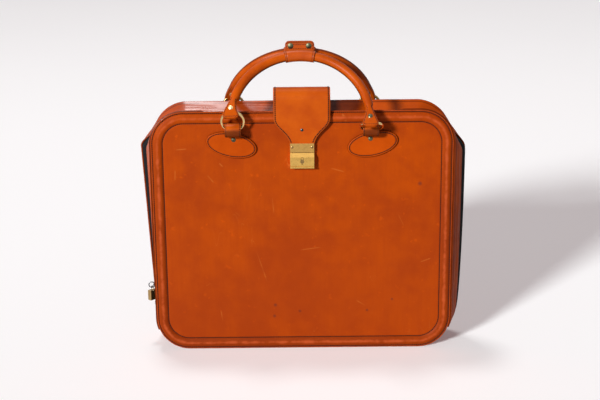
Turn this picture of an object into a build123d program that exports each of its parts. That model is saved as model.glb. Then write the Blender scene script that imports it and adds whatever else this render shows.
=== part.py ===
from build123d import *

import os
from math import acos, asin, atan, atan2, cos, degrees, hypot, radians, sin, sqrt

# Leather suitcase standing on its base, in millimetres.
# X runs to the right, the front faces -Y, Z is up, the origin is the middle of the base.
# "f" is a distance forward of the middle plane (f = -y), "inset" one inward from the outline.

# Overall sizes
width = 516.0
height = 427.0
depth = 92.0
corner_radius = 57.0
half_depth = depth / 2
corner_x = width / 2 - corner_radius
corner_z = height - corner_radius

# Leather and clearances
panel_leather = 2.2
gusset_leather = 2.8
patch_leather = 3.8
flap_leather = 4.0
board = 2.5
lining = 0.8
seat_gap = 0.1
edge_gap = 0.3
rivet_gap = 0.05

# Raised border of both panels
border_start = 3.8
border_end = 19.5
border_rise = 5.0
field_overlap = 1.5

# Swell of the soft sides beyond the border's outline: left high, left low, right high, right low
front_edge_swell = (8.4, -1.6, 16.2, 11.0)
zip_swell = (18.2, 3.0, 26.0, 17.0)
back_edge_swell = (21.8, 5.5, 25.6, 16.6)
low_height = 58.0
belly_rise = 26.0
belly_out = 0.65
belly_reach = 110.0
end_bulge = 2.0
bulge_drop = 14.0
shoulder_rise = 0.45
shoulder_across = 0.29
top_valley = 18.0
zip_end_height = 36.0
mid_share = 0.55

# Zip
tape_half = 15.0
tape = 0.8
tape_inset = 1.4
chain_width = 2.7
chain_thickness = 2.4
chain_inset = 0.6
chain_gap = 0.7
stop_height = 4.0

# Zip sliders, pull ring and padlock
slider_length = 14.0
slider_width = 8.6
slider_plate = 1.2
slider_gap = 0.4
slider_web = 0.8
bail_reach = 2.4
bail_bar = 1.0
bail_width = 2.6
bail_span = 4.4
bail_post = 1.1
upper_slider_height = 105.0
lower_slider_height = 71.0
pull_length = 13.0
pull_arm = 1.1
pull_ring_radius = 5.2
pull_ring_wire = 0.85
lock_body_width = 14.0
lock_body_thick = 8.0
lock_body_height = 18.0
shackle_radius = 3.5
shackle_wire = 1.1
shackle_leg = 7.0
shackle_gap = 0.5
padlock_turn = 50.0

# Front pocket
mouth_half = corner_x - 36.0
pocket_depth = 6.5
pocket_floor = 62.0

# Flap, bent over the top from behind the front border
lock_half = 20.4
lock_base_plate = 1.4
flap_half = 48.0
flap_border_gap = 0.4
flap_lock_gap = 0.7
flap_back = tape_half + 0.4
flap_front = half_depth + border_rise + flap_border_gap + flap_leather
flap_bend = (flap_front - flap_back) / 2
flap_hinge_height = height + 18.0
flap_straight_end = height - 17.0
flap_tip = height - 67.0
flap_tip_half = lock_half
flap_lean = flap_front - (half_depth + lock_base_plate + flap_lock_gap + flap_leather)
flap_base_half = flap_half - 2.0
flap_foot = 2.8
flap_toe_gap = 4.0
flap_spot_height = flap_straight_end - 14.0

# Lock
lock_top = flap_tip + 9.0
lock_bottom = lock_top - 39.0
case_thick = 9.5
case_top = flap_tip - 4.0
case_bevel = 7.0
case_bevel_depth = 4.2
lip_height = 3.2
groove = 0.7
keyhole_height = lock_bottom + 11.5
keyhole_radius = 2.0
key_slot = 1.5
key_depth = 5.0
cover_pin_height = keyhole_height + 5.5
cover_radius = 3.3
cover_thick = 0.8
hasp_plate = 1.6
hasp_height = 15.5
staple_half = 5.0
staple_height = 2.4
hasp_rivet_inset = 3.6
hasp_rivet_up = 1.5
hasp_shank = 1.0
hasp_head = 2.4
hasp_burr = 2.2
cover_pin_shank = 0.9
cover_pin_head = 1.6
cover_eye = 2.3
ward_height = 5.0

# Rings, loops and patches
ring_x = 116.0
back_ring_x = 120.0
ring_radius = 18.7
ring_wire = 2.3
loop_height = height - 30.5
loop_half = 13.8
loop_leather = 2.5
loop_tail = 2.4
loop_tail_end = loop_height - 24.5
ring_gap = 0.35
loop_bore = ring_radius - sqrt((ring_radius - ring_wire) ** 2 - loop_half**2) + ring_gap
loop_radius = loop_bore + loop_leather
loop_forward = loop_radius + 0.5
patch_x = ring_x + 4.0
patch_height = loop_height - 27.0
patch_long = 44.0
patch_short = 22.0
patch_tilt = 12.0
patch_rivet_x = ring_x
patch_rivet_height = loop_height - 17.5
rivet_head = 4.0
rivet_dome = 1.5
rivet_shank = 1.5

# Handles: each leans as its left ring does, and both stand a little to the left
front_handle_radius = 117.0
back_handle_radius = 120.5
handle_shift = -2.5
tube_radius = 8.0
tube_leather = 2.5
grip_leather = 1.85
grip_gap = 1.05
apex_forward = tube_radius + seat_gap + grip_leather + grip_gap
front_apex_height = loop_height + 119.0
back_apex_height = loop_height + 122.5
front_ring_lean = radians(21.0)
folded_ring_lean = radians(60.0)
back_ring_lean = radians(3.0)
flare_half = 13.5
flare_thick = 8.0
flare_length = 41.0
flare_straight = 7.5
flare_round = 6.0
flare_edge = 3.4
handle_rivet_up = 18.5
raised_eye = 11.7
folded_eye = 7.5

# Grips and snaps
grip_half = 25.5
fin_inner = 1.8
fin_thick = 2.5
fin_top = front_apex_height + 24.5
fin_round = 6.0
snap_x = 15.5
snap_drop = 9.0
snap_radius = 5.0
snap_dome = 1.6
snap_neck = 1.4
socket_radius = 4.0
snap_meeting = 0.3

panel_back = half_depth - panel_leather
board_back = panel_back - board
end_angle = asin((corner_radius - zip_end_height) / corner_radius)
quarter = 0.5523

nodes = {}


def save(name, *solids):
    """Keep one named sub-part, made of one or more separate solids."""
    nodes[name] = solids[0] if len(solids) == 1 else Compound(children=list(solids))


def mirrored(solid):
    """The same solid on the back of the case."""
    return mirror(solid, about=Plane.XZ)


def slab(inset, low_f, high_f):
    """A flat sheet with the case's outline."""
    outline = RectangleRounded(width - 2 * inset, height - 2 * inset, corner_radius - inset)
    face = Plane.XZ.offset(low_f) * Pos(0, height / 2) * outline
    return extrude(face, amount=high_f - low_f)


def border_path():
    """The closed outline of the case, started in the middle of its bottom edge."""
    left, right = -width / 2, width / 2
    bow = corner_radius * (1 - sqrt(0.5))
    edges = [
        Line((0, 0, 0), (corner_x, 0, 0)),
        ThreePointArc((corner_x, 0, 0), (right - bow, 0, bow), (right, 0, corner_radius)),
        Line((right, 0, corner_radius), (right, 0, corner_z)),
        ThreePointArc((right, 0, corner_z), (right - bow, 0, height - bow), (corner_x, 0, height)),
        Line((corner_x, 0, height), (-corner_x, 0, height)),
        ThreePointArc((-corner_x, 0, height), (left + bow, 0, height - bow), (left, 0, corner_z)),
        Line((left, 0, corner_z), (left, 0, corner_radius)),
        ThreePointArc((left, 0, corner_radius), (left + bow, 0, bow), (-corner_x, 0, 0)),
        Line((-corner_x, 0, 0), (0, 0, 0)),
    ]
    return Wire(edges)


def around_border(*curves):
    """Sweep a closed section, drawn as (inset, f), round the outline."""
    section = Plane(origin=(0, 0, 0), x_dir=(0, 0, 1), z_dir=(1, 0, 0)) * make_face(curves)
    return sweep(section, path=border_path())


def make_panel():
    """The moulded leather sheet with its raised border."""
    middle = (border_start + border_end) / 2
    edge = border_end + field_overlap
    crest = half_depth + border_rise
    inner_start = border_start + panel_leather
    inner_end = border_end - panel_leather
    border = around_border(
        Polyline((0, panel_back), (0, half_depth), (border_start, half_depth)),
        ThreePointArc((border_start, half_depth), (middle, crest), (border_end, half_depth)),
        Polyline((border_end, half_depth), (edge, half_depth), (edge, panel_back),
                 (inner_end, panel_back)),
        ThreePointArc((inner_end, panel_back), (middle, crest - panel_leather),
                      (inner_start, panel_back)),
        Line((inner_start, panel_back), (0, panel_back)),
    )
    return border + slab(edge - field_overlap / 3, panel_back, half_depth)


def make_border_core():
    """The cane that keeps the border raised."""
    middle = (border_start + border_end) / 2
    start = border_start + panel_leather + seat_gap
    end = border_end - panel_leather - seat_gap
    crest = half_depth + border_rise - panel_leather - seat_gap
    return around_border(
        ThreePointArc((start, panel_back), (middle, crest), (end, panel_back)),
        Line((end, panel_back), (start, panel_back)),
    )


def bulge_share(f):
    """How much of the swell or valley the leather has reached at distance f."""
    u = (panel_back - max(abs(f), tape_half)) / (panel_back - tape_half)
    rate = 4 * mid_share - 1
    return rate * u + (1 - rate) * u * u


def swell(f):
    """Swell of both sides at distance f: left high, left low, right high, right low."""
    edge = front_edge_swell if f > 0 else back_edge_swell
    if abs(f) >= tape_half:
        return [bulge_share(f) * value for value in edge]
    chain_edge = chain_gap + chain_width
    t = max(0, (abs(f) - chain_edge) / (tape_half - chain_edge))
    return [line + t * (value - line) for line, value in zip(zip_swell, edge)]


def side_points(side, f, inset):
    """End, low, high and top points of one side of the gusset's path, as (x, z)."""
    share = bulge_share(f)
    bulge, low = swell(f)[:2] if side < 0 else swell(f)[2:]
    reach = corner_radius + end_bulge * share - inset
    end = (corner_x + reach * cos(end_angle), corner_radius - reach * sin(end_angle))
    low_z = corner_radius + (low_height - corner_radius) * share
    high_z = corner_z - bulge_drop * share
    run = hypot(bulge - low, high_z - low_z)
    normal = ((high_z - low_z) / run, -(bulge - low) / run)
    low_point = (width / 2 + low - inset * normal[0], low_z - inset * normal[1])
    high_point = (width / 2 + bulge - inset * normal[0], high_z - inset * normal[1])
    top_point = (corner_x, height - top_valley * share - inset)
    return [(side * x, z) for x, z in (end, low_point, high_point, top_point)]


def gusset_edges(inset, f):
    """The gusset's path over the case, from the lower left end to the lower right one."""

    def place(point):
        return Vector(point[0], -f, point[1])

    def tail(end, low, along):
        return TangentArc(place(low), place(end), tangent=along)

    share = bulge_share(f)

    def corner(high, along, top):
        start, stop = place(high), place(top)
        rise = (quarter + (shoulder_rise - quarter) * share) * (stop.Z - start.Z)
        across = (quarter + (shoulder_across - quarter) * share) * (stop.X - start.X)
        return Bezier(start, start + along * rise, stop - Vector(across, 0, 0), stop)

    left_end, left_low, left_high, left_top = side_points(-1, f, inset)
    right_end, right_low, right_high, right_top = side_points(1, f, inset)
    left_up = (place(left_high) - place(left_low)).normalized()
    out = belly_out * (right_high[0] - right_low[0])
    belly = place(right_low) + Vector(out, 0, belly_rise)
    upright = Vector(0, 0, 1)
    return [
        tail(left_end, left_low, -left_up),
        Line(place(left_low), place(left_high)),
        corner(left_high, left_up, left_top),
        Line(place(left_top), place(right_top)),
        corner(right_high, upright, right_top),
        Bezier(place(right_high), place(right_high) - upright * belly_reach, belly,
               place(right_low)),
        tail(right_end, right_low, (place(right_low) - belly).normalized()),
    ]


def ribbon(outer_inset, inner_inset, f, at=None):
    """The thin face that a strip of leather or tape shows when cut across the depth at f."""
    line = f if at is None else at
    outer = gusset_edges(outer_inset, line)
    inner = gusset_edges(inner_inset, line)

    def ends(side):
        a = side_points(side, line, outer_inset)[0]
        b = side_points(side, line, inner_inset)[0]
        return Line((a[0], -line, a[1]), (b[0], -line, b[1]))

    face = Face(Wire(outer + [ends(1)] + inner[::-1] + [ends(-1)]))
    return Pos(0, line - f, 0) * face


def make_gusset(side):
    """The strip of leather over both sides and the top, from a border to the zip's tape."""
    middle = (panel_back + tape_half) / 2
    return loft([ribbon(0, gusset_leather, side * f) for f in (panel_back, middle, tape_half)])


def make_tape(side):
    """The zip's tape, from its coil out to the gusset's edge."""
    inner_f, outer_f = side * (chain_gap + chain_width), side * tape_half
    sections = [ribbon(tape_inset, tape_inset + tape, f) for f in (inner_f, outer_f)]
    return loft(sections, ruled=True)


def zip_strip(outer_inset, thickness, low_f, high_f):
    """A strip that follows the zip's coils."""
    face = ribbon(outer_inset, outer_inset + thickness, low_f, 0)
    return extrude(face, amount=high_f - low_f, dir=(0, -1, 0))


def above(height_limit):
    """All space above a height."""
    return Pos(0, 0, height_limit + height) * Box(2 * width, 2 * depth, 2 * height)


def make_zip_half():
    """The front coil and the stops at its two ends."""
    chain_start = zip_end_height + stop_height
    chain_all = zip_strip(chain_inset, chain_thickness, chain_gap, chain_gap + chain_width)
    chain = chain_all & above(chain_start)
    block = zip_strip(chain_inset - 0.5, chain_thickness + 1, chain_gap, chain_gap + chain_width)
    stops = (block - above(chain_start)).solids()
    return chain, stops


def make_bottom_gusset():
    """The strip of leather under the case, with the two lower corners."""
    gap_angle = end_angle + edge_gap / corner_radius
    low_f = -(panel_back - edge_gap)

    def arc_points(radius, side):
        points = []
        for angle in (gap_angle, (gap_angle + radians(90)) / 2, radians(90)):
            x = side * (corner_x + radius * cos(angle))
            points.append((x, corner_radius - radius * sin(angle)))
        return points

    def run(radius):
        left, right = arc_points(radius, -1), arc_points(radius, 1)
        return [
            ThreePointArc(*left),
            Line(left[2], right[2]),
            ThreePointArc(*right),
        ], left[0], right[0]

    outer, outer_left, outer_right = run(corner_radius)
    inner, inner_left, inner_right = run(corner_radius - gusset_leather)
    face = make_face(outer + inner + [Line(outer_left, inner_left), Line(outer_right, inner_right)])
    return extrude(Plane.XZ.offset(-panel_back) * face, amount=panel_back - low_f)


def across(f_z_curves, half):
    """Extrude a section drawn as (f, z) to both sides of the middle."""
    section = Plane(origin=(0, 0, 0), x_dir=(0, -1, 0), z_dir=(-1, 0, 0)) * make_face(f_z_curves)
    return extrude(section, amount=half, both=True)


def peg(x, z, low_f, high_f, radius):
    """A round bar along the depth."""
    face = Plane.XZ.offset(low_f) * Pos(x, z) * Circle(radius)
    return extrude(face, amount=high_f - low_f)


def dome(x, z, base_f, radius, rise):
    """A round domed head on a face that looks forward."""
    ball = (radius * radius + rise * rise) / (2 * rise)
    centre_f = base_f + rise - ball
    cap = Pos(x, -centre_f, z) * Sphere(ball)
    return cap & peg(x, z, base_f, base_f + 2 * rise, radius + 1)


def gusset_top(f):
    """Height of the top gusset's outer face at distance f."""
    return height - top_valley * bulge_share(f)


def make_pocket_wall():
    """Inner wall of the front pocket, with the ledge that is the pocket's floor."""
    outer_f = board_back - pocket_depth
    inner_f = outer_f - board
    edges = gusset_edges(gusset_leather + edge_gap, inner_f)
    base_z = zip_end_height + 4
    left, right = edges[1] @ 0, edges[5] @ 1
    close = [
        Line(left, (left.X, -inner_f, base_z)),
        Line((left.X, -inner_f, base_z), (right.X, -inner_f, base_z)),
        Line((right.X, -inner_f, base_z), right),
    ]
    wall = extrude(Face(Wire(edges[1:6] + close)), amount=board, dir=(0, -1, 0))
    wall = wall & slab(edge_gap + gusset_leather + 7, inner_f, outer_f)
    ledge_f = board_back - edge_gap
    ledge = Pos(0, -(outer_f + ledge_f) / 2, pocket_floor - board / 2) * Box(
        2 * corner_x, ledge_f - outer_f, board
    )
    return wall + ledge


def flap_outline(tip, low_f, high_f):
    """The flap's shape seen from the front, through the whole depth."""
    shoulder = flap_straight_end + 6
    curve_end = tip + 6
    side = Bezier((flap_half, shoulder), (flap_half, shoulder - 18),
                  (flap_tip_half + 1, shoulder - 24), (flap_tip_half, curve_end))
    other = Bezier((-flap_half, shoulder), (-flap_half, shoulder - 18),
                   (-flap_tip_half - 1, shoulder - 24), (-flap_tip_half, curve_end))
    top = flap_hinge_height + flap_bend + 5
    face = make_face([
        side,
        Line((flap_tip_half, curve_end), (flap_tip_half, tip)),
        Line((flap_tip_half, tip), (-flap_tip_half, tip)),
        Line((-flap_tip_half, tip), (-flap_tip_half, curve_end)),
        other,
        Line((-flap_half, shoulder), (-flap_half, top)),
        Line((-flap_half, top), (flap_half, top)),
        Line((flap_half, top), (flap_half, shoulder)),
    ])
    return extrude(Plane.XZ.offset(low_f) * face, amount=high_f - low_f)


def flap_face(z):
    """Distance f of the flap's outer face at a height below its straight part."""
    return flap_front - flap_lean * (flap_straight_end - z) / (flap_straight_end - flap_tip)


def make_flap():
    """The moving part of the flap: the bend over the top and the front tongue."""
    inner = flap_front - flap_leather
    centre = flap_back + flap_bend
    start = flap_hinge_height + edge_gap
    bend_inner = flap_bend - flap_leather
    section = [
        Line((flap_back, start), (flap_back, flap_hinge_height + 1)),
        ThreePointArc((flap_back, flap_hinge_height + 1),
                      (centre, flap_hinge_height + 1 + flap_bend),
                      (flap_front, flap_hinge_height + 1)),
        Polyline((flap_front, flap_hinge_height + 1), (flap_front, flap_straight_end),
                 (flap_face(flap_tip), flap_tip),
                 (flap_face(flap_tip) - flap_leather, flap_tip),
                 (inner, flap_straight_end), (inner, flap_hinge_height + 1)),
        ThreePointArc((inner, flap_hinge_height + 1),
                      (centre, flap_hinge_height + 1 + bend_inner),
                      (flap_back + flap_leather, flap_hinge_height + 1)),
        Polyline((flap_back + flap_leather, flap_hinge_height + 1),
                 (flap_back + flap_leather, start), (flap_back, start)),
    ]
    return across(section, flap_half + 1) & flap_outline(flap_tip, 0, depth)


def make_flap_base():
    """The sewn foot and riser behind the front border that the flap bends on."""
    toe = panel_back - pocket_depth - board - flap_toe_gap
    steps = [flap_back + flap_leather + (toe - flap_back - flap_leather) * i / 4 for i in range(5)]
    upper = [(f, gusset_top(f) + flap_foot) for f in steps]
    lower = [(f, gusset_top(f) + edge_gap) for f in reversed(steps)]
    top = flap_hinge_height - edge_gap
    foot = [(flap_back, gusset_top(flap_back) + edge_gap), (flap_back, top),
            (flap_back + flap_leather, top)]
    outline = foot + upper + lower
    return across([Polyline(*outline, close=True)], flap_base_half)


def make_lock():
    """Lock base plate and lock case, with the slot, the keyhole and the bottom lip."""
    base_front = half_depth + lock_base_plate
    front = base_front + case_thick
    plate = Pos(0, -(half_depth + base_front) / 2, (lock_bottom + lock_top) / 2) * Box(
        2 * lock_half, lock_base_plate, lock_top - lock_bottom
    )
    slot_half = staple_half + edge_gap
    slot_z = flap_tip - staple_height / 2 - edge_gap
    slot = Pos(0, -half_depth, slot_z) * Box(2 * slot_half, 3 * lock_base_plate, staple_height + 1)
    lip_top = lock_bottom + lip_height
    case = across([Polyline(
        (base_front, lock_bottom),
        (front + 1, lock_bottom),
        (front + 1, lip_top),
        (front - 0.6, lip_top),
        (front - 0.6, lip_top + groove),
        (front, lip_top + groove),
        (front, case_top - case_bevel),
        (front - case_bevel_depth, case_top),
        (base_front, case_top),
        close=True,
    )], lock_half)
    hole = peg(0, keyhole_height, front - key_depth, front + 1, keyhole_radius)
    wards = Pos(0, -(front - key_depth / 2 + 0.5), keyhole_height - 3) * Box(
        key_slot, key_depth + 1, ward_height
    )
    head_start = front + edge_gap + cover_thick + seat_gap
    pin = peg(0, cover_pin_height, front - 2, head_start, cover_pin_shank)
    pin += peg(0, cover_pin_height, head_start, head_start + 0.6, cover_pin_head)
    pin_hole = peg(0, cover_pin_height, front - 2 - seat_gap, front + 1,
                   cover_pin_shank + rivet_gap)
    return plate - slot, case - hole - wards - pin_hole, pin


def make_key_cover():
    """The teardrop plate that hangs over the keyhole."""
    low_f = half_depth + lock_base_plate + case_thick + edge_gap - seat_gap
    high_f = low_f + cover_thick
    span = cover_pin_height - keyhole_height
    lean = acos((cover_radius - cover_eye) / span)
    tangents = []
    for side in (1, -1):
        for centre, radius in ((cover_pin_height, cover_eye), (keyhole_height, cover_radius)):
            tangents.append((side * radius * sin(lean), centre - radius * cos(lean)))
    body = make_face([Polyline(tangents[0], tangents[1], tangents[3], tangents[2], close=True)])
    plate = extrude(Plane.XZ.offset(low_f) * body, amount=cover_thick)
    plate += peg(0, cover_pin_height, low_f, high_f, cover_eye)
    plate += peg(0, keyhole_height, low_f, high_f, cover_radius)
    return plate - peg(0, cover_pin_height, low_f - 1, high_f + 1, cover_pin_shank + rivet_gap)


def make_hasp():
    """The brass plate on the flap's tip with the staple behind it, and its two rivets."""
    middle = flap_tip - 3 + hasp_height / 2
    lean = atan(flap_lean / (flap_straight_end - flap_tip))
    seat = flap_face(middle) + seat_gap
    frame = Location((0, -seat, middle), (degrees(lean), 0, 0))
    plate = frame * (Pos(0, -hasp_plate / 2, 0) * Box(2 * lock_half, hasp_plate, hasp_height))
    plate = chamfer(plate.edges().filter_by(Axis.X).group_by(Axis.Y)[0], 0.5)
    reach = flap_face(flap_tip) + hasp_plate / 2 - (half_depth + lock_base_plate / 2)
    staple_z = flap_tip - staple_height / 2 - edge_gap
    staple = Pos(0, -(half_depth + lock_base_plate / 2 + reach / 2), staple_z) * Box(
        2 * staple_half, reach, staple_height
    )
    rivets = []
    holes = []
    for side in (-1, 1):
        x = side * (lock_half - hasp_rivet_inset)
        shank = peg(x, hasp_rivet_up, -flap_leather - 0.6, hasp_plate, hasp_shank)
        head = dome(x, hasp_rivet_up, hasp_plate, hasp_head, 1.0)
        burr = peg(x, hasp_rivet_up, -flap_leather - 1.0, -flap_leather - 0.3, hasp_burr)
        rivets.append(frame * (shank + head + burr))
        hole = peg(x, hasp_rivet_up, -flap_leather - 2, hasp_plate + 1, hasp_shank + rivet_gap)
        holes.append(frame * hole)
    return plate + staple, rivets, holes


def handle_slope(lean, apex_height):
    """Slope of a handle that runs from its top to the far bar of a ring that leans outward."""
    out = half_depth + loop_forward + 2 * ring_radius * sin(lean)
    up = loop_height + 2 * ring_radius * cos(lean)
    return (out - apex_forward) / (apex_height - up)


def ring_place(lean):
    """Frame of a front ring's centre, with its axis across the ring."""
    out = half_depth + loop_forward + ring_radius * sin(lean)
    up = loop_height + ring_radius * cos(lean)
    return Plane(origin=(0, -out, up), x_dir=(1, 0, 0), z_dir=(0, -cos(lean), -sin(lean)))


def make_ring(x, lean, wire=ring_wire):
    """One round brass ring."""
    return Pos(x, 0, 0) * (ring_place(lean) * Torus(ring_radius, wire))


def make_loop(side):
    """The leather loop that holds a ring, with the tail that runs under the patch."""
    axis_f = half_depth + loop_forward
    place = Location((side * ring_x, -axis_f, loop_height), (0, 90, 0))
    tail = Pos(side * ring_x, -(half_depth + seat_gap + loop_tail / 2),
               (loop_tail_end + loop_height) / 2) * Box(
        2 * loop_half, loop_tail, loop_height - loop_tail_end
    )
    loop = place * Cylinder(loop_radius, 2 * loop_half) + tail
    return loop - place * Cylinder(loop_bore, 3 * loop_half)


def make_patch(side):
    """The oval patch, hollowed behind for the loop's tail."""
    oval = Plane.XZ.offset(half_depth) * Pos(side * patch_x, patch_height) * Rot(
        0, 0, side * patch_tilt) * Ellipse(patch_long, patch_short)
    plate = extrude(oval, amount=patch_leather)
    rim = plate.edges().filter_by(GeomType.ELLIPSE).sort_by(Axis.Y)[0]
    plate = chamfer(rim, 1.0)
    room = loop_half + edge_gap
    recess = Pos(side * ring_x, -(half_depth + (loop_tail + 2 * seat_gap) / 2),
                 loop_tail_end + patch_short) * Box(
        2 * room, loop_tail + 2 * seat_gap, 2 * (patch_short + edge_gap)
    )
    place = Location((side * ring_x, -(half_depth + loop_forward), loop_height), (0, 90, 0))
    return plate - recess - place * Cylinder(loop_radius + edge_gap, 2 * room)


def patch_hole(side, radius):
    """The bore of a patch's rivet."""
    return peg(side * patch_rivet_x, patch_rivet_height, board_back - 5, half_depth + 20, radius)


def make_patch_rivet(side):
    """Domed rivet through patch, tail, panel and board, with its washer behind."""
    x, z = side * patch_rivet_x, patch_rivet_height
    outer = half_depth + patch_leather
    shank = peg(x, z, board_back - 0.6, outer, rivet_shank)
    washer = peg(x, z, board_back - 0.8, board_back - 0.1, rivet_head)
    return shank + dome(x, z, outer + 0.02, rivet_head, rivet_dome) + washer + peg(
        x, z, outer, outer + 0.5, rivet_shank)


def handle_plane(slope, apex_height):
    """Plane of the front handle: X across, local Y up along the handle, origin at its top."""
    length = hypot(1, slope)
    z_dir = (0, -1 / length, slope / length)
    return Plane(origin=(handle_shift, -apex_forward, apex_height), x_dir=(1, 0, 0), z_dir=z_dir)


def ring_bar(x, lean):
    """The far bar of a ring, which the handle's eye goes round."""
    out = half_depth + loop_forward + 2 * ring_radius * sin(lean)
    return Vector(x, -out, loop_height + 2 * ring_radius * cos(lean))


def make_handle(slope, apex_height, radius, ends):
    """Rolled leather tube with a flared eye at each end, its rope core and its rivets."""
    plane = handle_plane(slope, apex_height)
    bars = [ring_bar(x, lean) for x, lean, _ in ends]
    starts = [(apex_height - bar.Z) * hypot(1, slope) + end[2] - flare_length
              for bar, end in zip(bars, ends)]

    def angle(drop):
        return degrees(asin((radius - min(drop, radius)) / radius))

    left_angle, right_angle = 180 - angle(starts[0]), angle(starts[1])
    arc = CenterArc((0, -radius), radius, left_angle, right_angle - left_angle)
    edges = [arc]
    if starts[1] > radius:
        edges.append(Line(arc @ 1, (radius, -starts[1])))
    path = plane * Wire(edges)
    start_plane = Plane(origin=path @ 0, z_dir=path % 0)
    end_plane = Plane(origin=path @ 1, z_dir=path % 1)

    def tube(size):
        return sweep(start_plane * Circle(size), path=path)

    body = tube(tube_radius)
    rivets = []
    for bar, end, cut in zip(bars, ends, (start_plane, end_plane)):
        x, lean, eye = end
        centre = x + handle_shift
        rise = Vector(0, cut.origin.Y - bar.Y, cut.origin.Z - bar.Z).normalized()
        tab_plane = Plane(origin=(centre, bar.Y, bar.Z), x_dir=(1, 0, 0),
                          z_dir=Vector(1, 0, 0).cross(rise))
        flat = Plane(origin=(0, flare_straight - eye, 0), x_dir=(1, 0, 0), z_dir=(0, 1, 0))
        section = flat * RectangleRounded(2 * flare_half, flare_thick, flare_edge)
        neck_plane = Plane(origin=cut.origin, x_dir=(1, 0, 0), z_dir=cut.z_dir)
        neck = loft([neck_plane * Circle(tube_radius), tab_plane * section])
        tab = extrude(Pos(0, flare_round - eye + flare_straight / 2) * RectangleRounded(
            2 * flare_half, flare_straight + 2 * flare_round, flare_round),
            amount=flare_thick / 2, both=True)
        keep = extrude(section, amount=-flare_straight)
        channel = make_ring(x, lean, ring_wire + ring_gap)
        rivet_y = handle_rivet_up - eye
        bore = Pos(0, rivet_y, 0) * Cylinder(rivet_shank + rivet_gap, 40)
        for face in (1, -1):
            seat = face * (flare_thick / 2 + 5)
            bore += Pos(0, rivet_y, seat) * Cylinder(rivet_head + edge_gap, 10)
        body = body + neck + tab_plane * (tab & keep)
        body = body - channel - tab_plane * bore
        rivet = Pos(0, rivet_y, 0) * Cylinder(rivet_shank, flare_thick + 2 * seat_gap)
        ball = (rivet_head ** 2 + rivet_dome ** 2) / (2 * rivet_dome)
        for face in (1, -1):
            seat = face * (flare_thick / 2 + seat_gap / 2)
            cap = Pos(0, rivet_y, seat + face * (rivet_dome - ball)) * Sphere(ball)
            cut_box = Pos(0, rivet_y, seat + face * 5) * Box(20, 20, 10)
            rivet += cap & cut_box
        rivets.append(tab_plane * rivet)
    core_room = tube(tube_radius - tube_leather)
    return body - core_room, tube(tube_radius - tube_leather - seat_gap), rivets


def make_grip(slope, apex_height, radius):
    """Leather sleeve round the middle of the handle, with the upright fin and its snaps."""
    plane = handle_plane(slope, apex_height)
    reach = degrees(asin(grip_half / radius))
    arc = plane * CenterArc((0, -radius), radius, 90 + reach, -2 * reach)
    start = Plane(origin=arc @ 0, z_dir=arc % 0)
    long_arc = plane * CenterArc((0, -radius), radius, 100 + reach, -2 * reach - 20)
    long_start = Plane(origin=long_arc @ 0, z_dir=long_arc % 0)
    inner = tube_radius + seat_gap
    sleeve = sweep(start * Circle(inner + grip_leather), path=arc)
    low = apex_height - 1
    fin_outline = RectangleRounded(2 * grip_half - 1, fin_top - low + 2 * fin_round, fin_round)
    fin_face = Plane.XZ.offset(fin_inner) * Pos(
        handle_shift, (fin_top + low) / 2 - fin_round) * fin_outline
    fin = extrude(fin_face, amount=fin_thick) & above(low)
    grip = sleeve + fin - sweep(long_start * Circle(inner), path=long_arc)
    front = fin_inner + fin_thick
    snap_z = fin_top - snap_drop
    for side in (-1, 1):
        grip -= peg(handle_shift + side * snap_x, snap_z, 0, 10, snap_neck + rivet_gap)
    return grip, front, snap_z


def make_front_snap(side, front, z):
    """Snap cap in front of the fin with its socket behind."""
    x = handle_shift + side * snap_x
    socket = peg(x, z, snap_meeting, fin_inner, socket_radius)
    socket -= peg(x, z, 0, fin_inner - 0.5, 1.9)
    return socket + peg(x, z, fin_inner - 0.2, front, snap_neck) + dome(
        x, z, front, snap_radius, snap_dome)


def make_back_snap(side, front, z):
    """Snap cap with its stud, drawn on the front and mirrored to the back."""
    x = handle_shift + side * snap_x
    stud = peg(x, z, fin_inner - 0.6, fin_inner, socket_radius - 0.6)
    nub = peg(x, z, snap_meeting / 2, fin_inner, 1.5)
    return stud + nub + peg(x, z, fin_inner - 0.2, front, snap_neck) + dome(
        x, z, front, snap_radius, snap_dome)


def zip_place(z):
    """Frame on the left zip line: local X inward, local Z up along the zip."""
    _, low, high, _ = side_points(-1, 0, 0)
    share = (z - low[1]) / (high[1] - low[1])
    x = low[0] + share * (high[0] - low[0])
    lean = degrees(atan2(high[0] - low[0], high[1] - low[1]))
    return Location((x, 0, z), (0, lean, 0))


def slider_body():
    """Outer and inner plate of a zip slider, joined by the web between the two chains."""
    outer = chain_inset - slider_gap
    inner = chain_inset + chain_thickness + slider_gap

    def plate(low_x):
        face = RectangleRounded(slider_width, slider_length, 2.5)
        flat = Plane(origin=(low_x, 0, 0), x_dir=(0, 1, 0), z_dir=(1, 0, 0)) * face
        return extrude(flat, amount=slider_plate)

    web = Pos((outer + inner) / 2, 0, 0) * Box(inner - outer + 1, slider_web, slider_length * 0.6)
    return plate(outer - slider_plate) + plate(inner) + web


slider_face = chain_inset - slider_gap - slider_plate


def bail(cross):
    """The bridge on a slider's outer plate, set across the zip or along it."""
    reach = slider_face - bail_reach
    bar = Pos(reach - bail_bar / 2, 0, 0) * Box(bail_bar, bail_width, bail_span + 2 * bail_post)
    for side in (-1, 1):
        post_z = side * (bail_span + bail_post) / 2
        bar += Pos(slider_face - bail_reach / 2, 0, post_z) * Box(
            bail_reach + 0.4, bail_width, bail_post)
    return Rot(90, 0, 0) * bar if cross else bar


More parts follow.
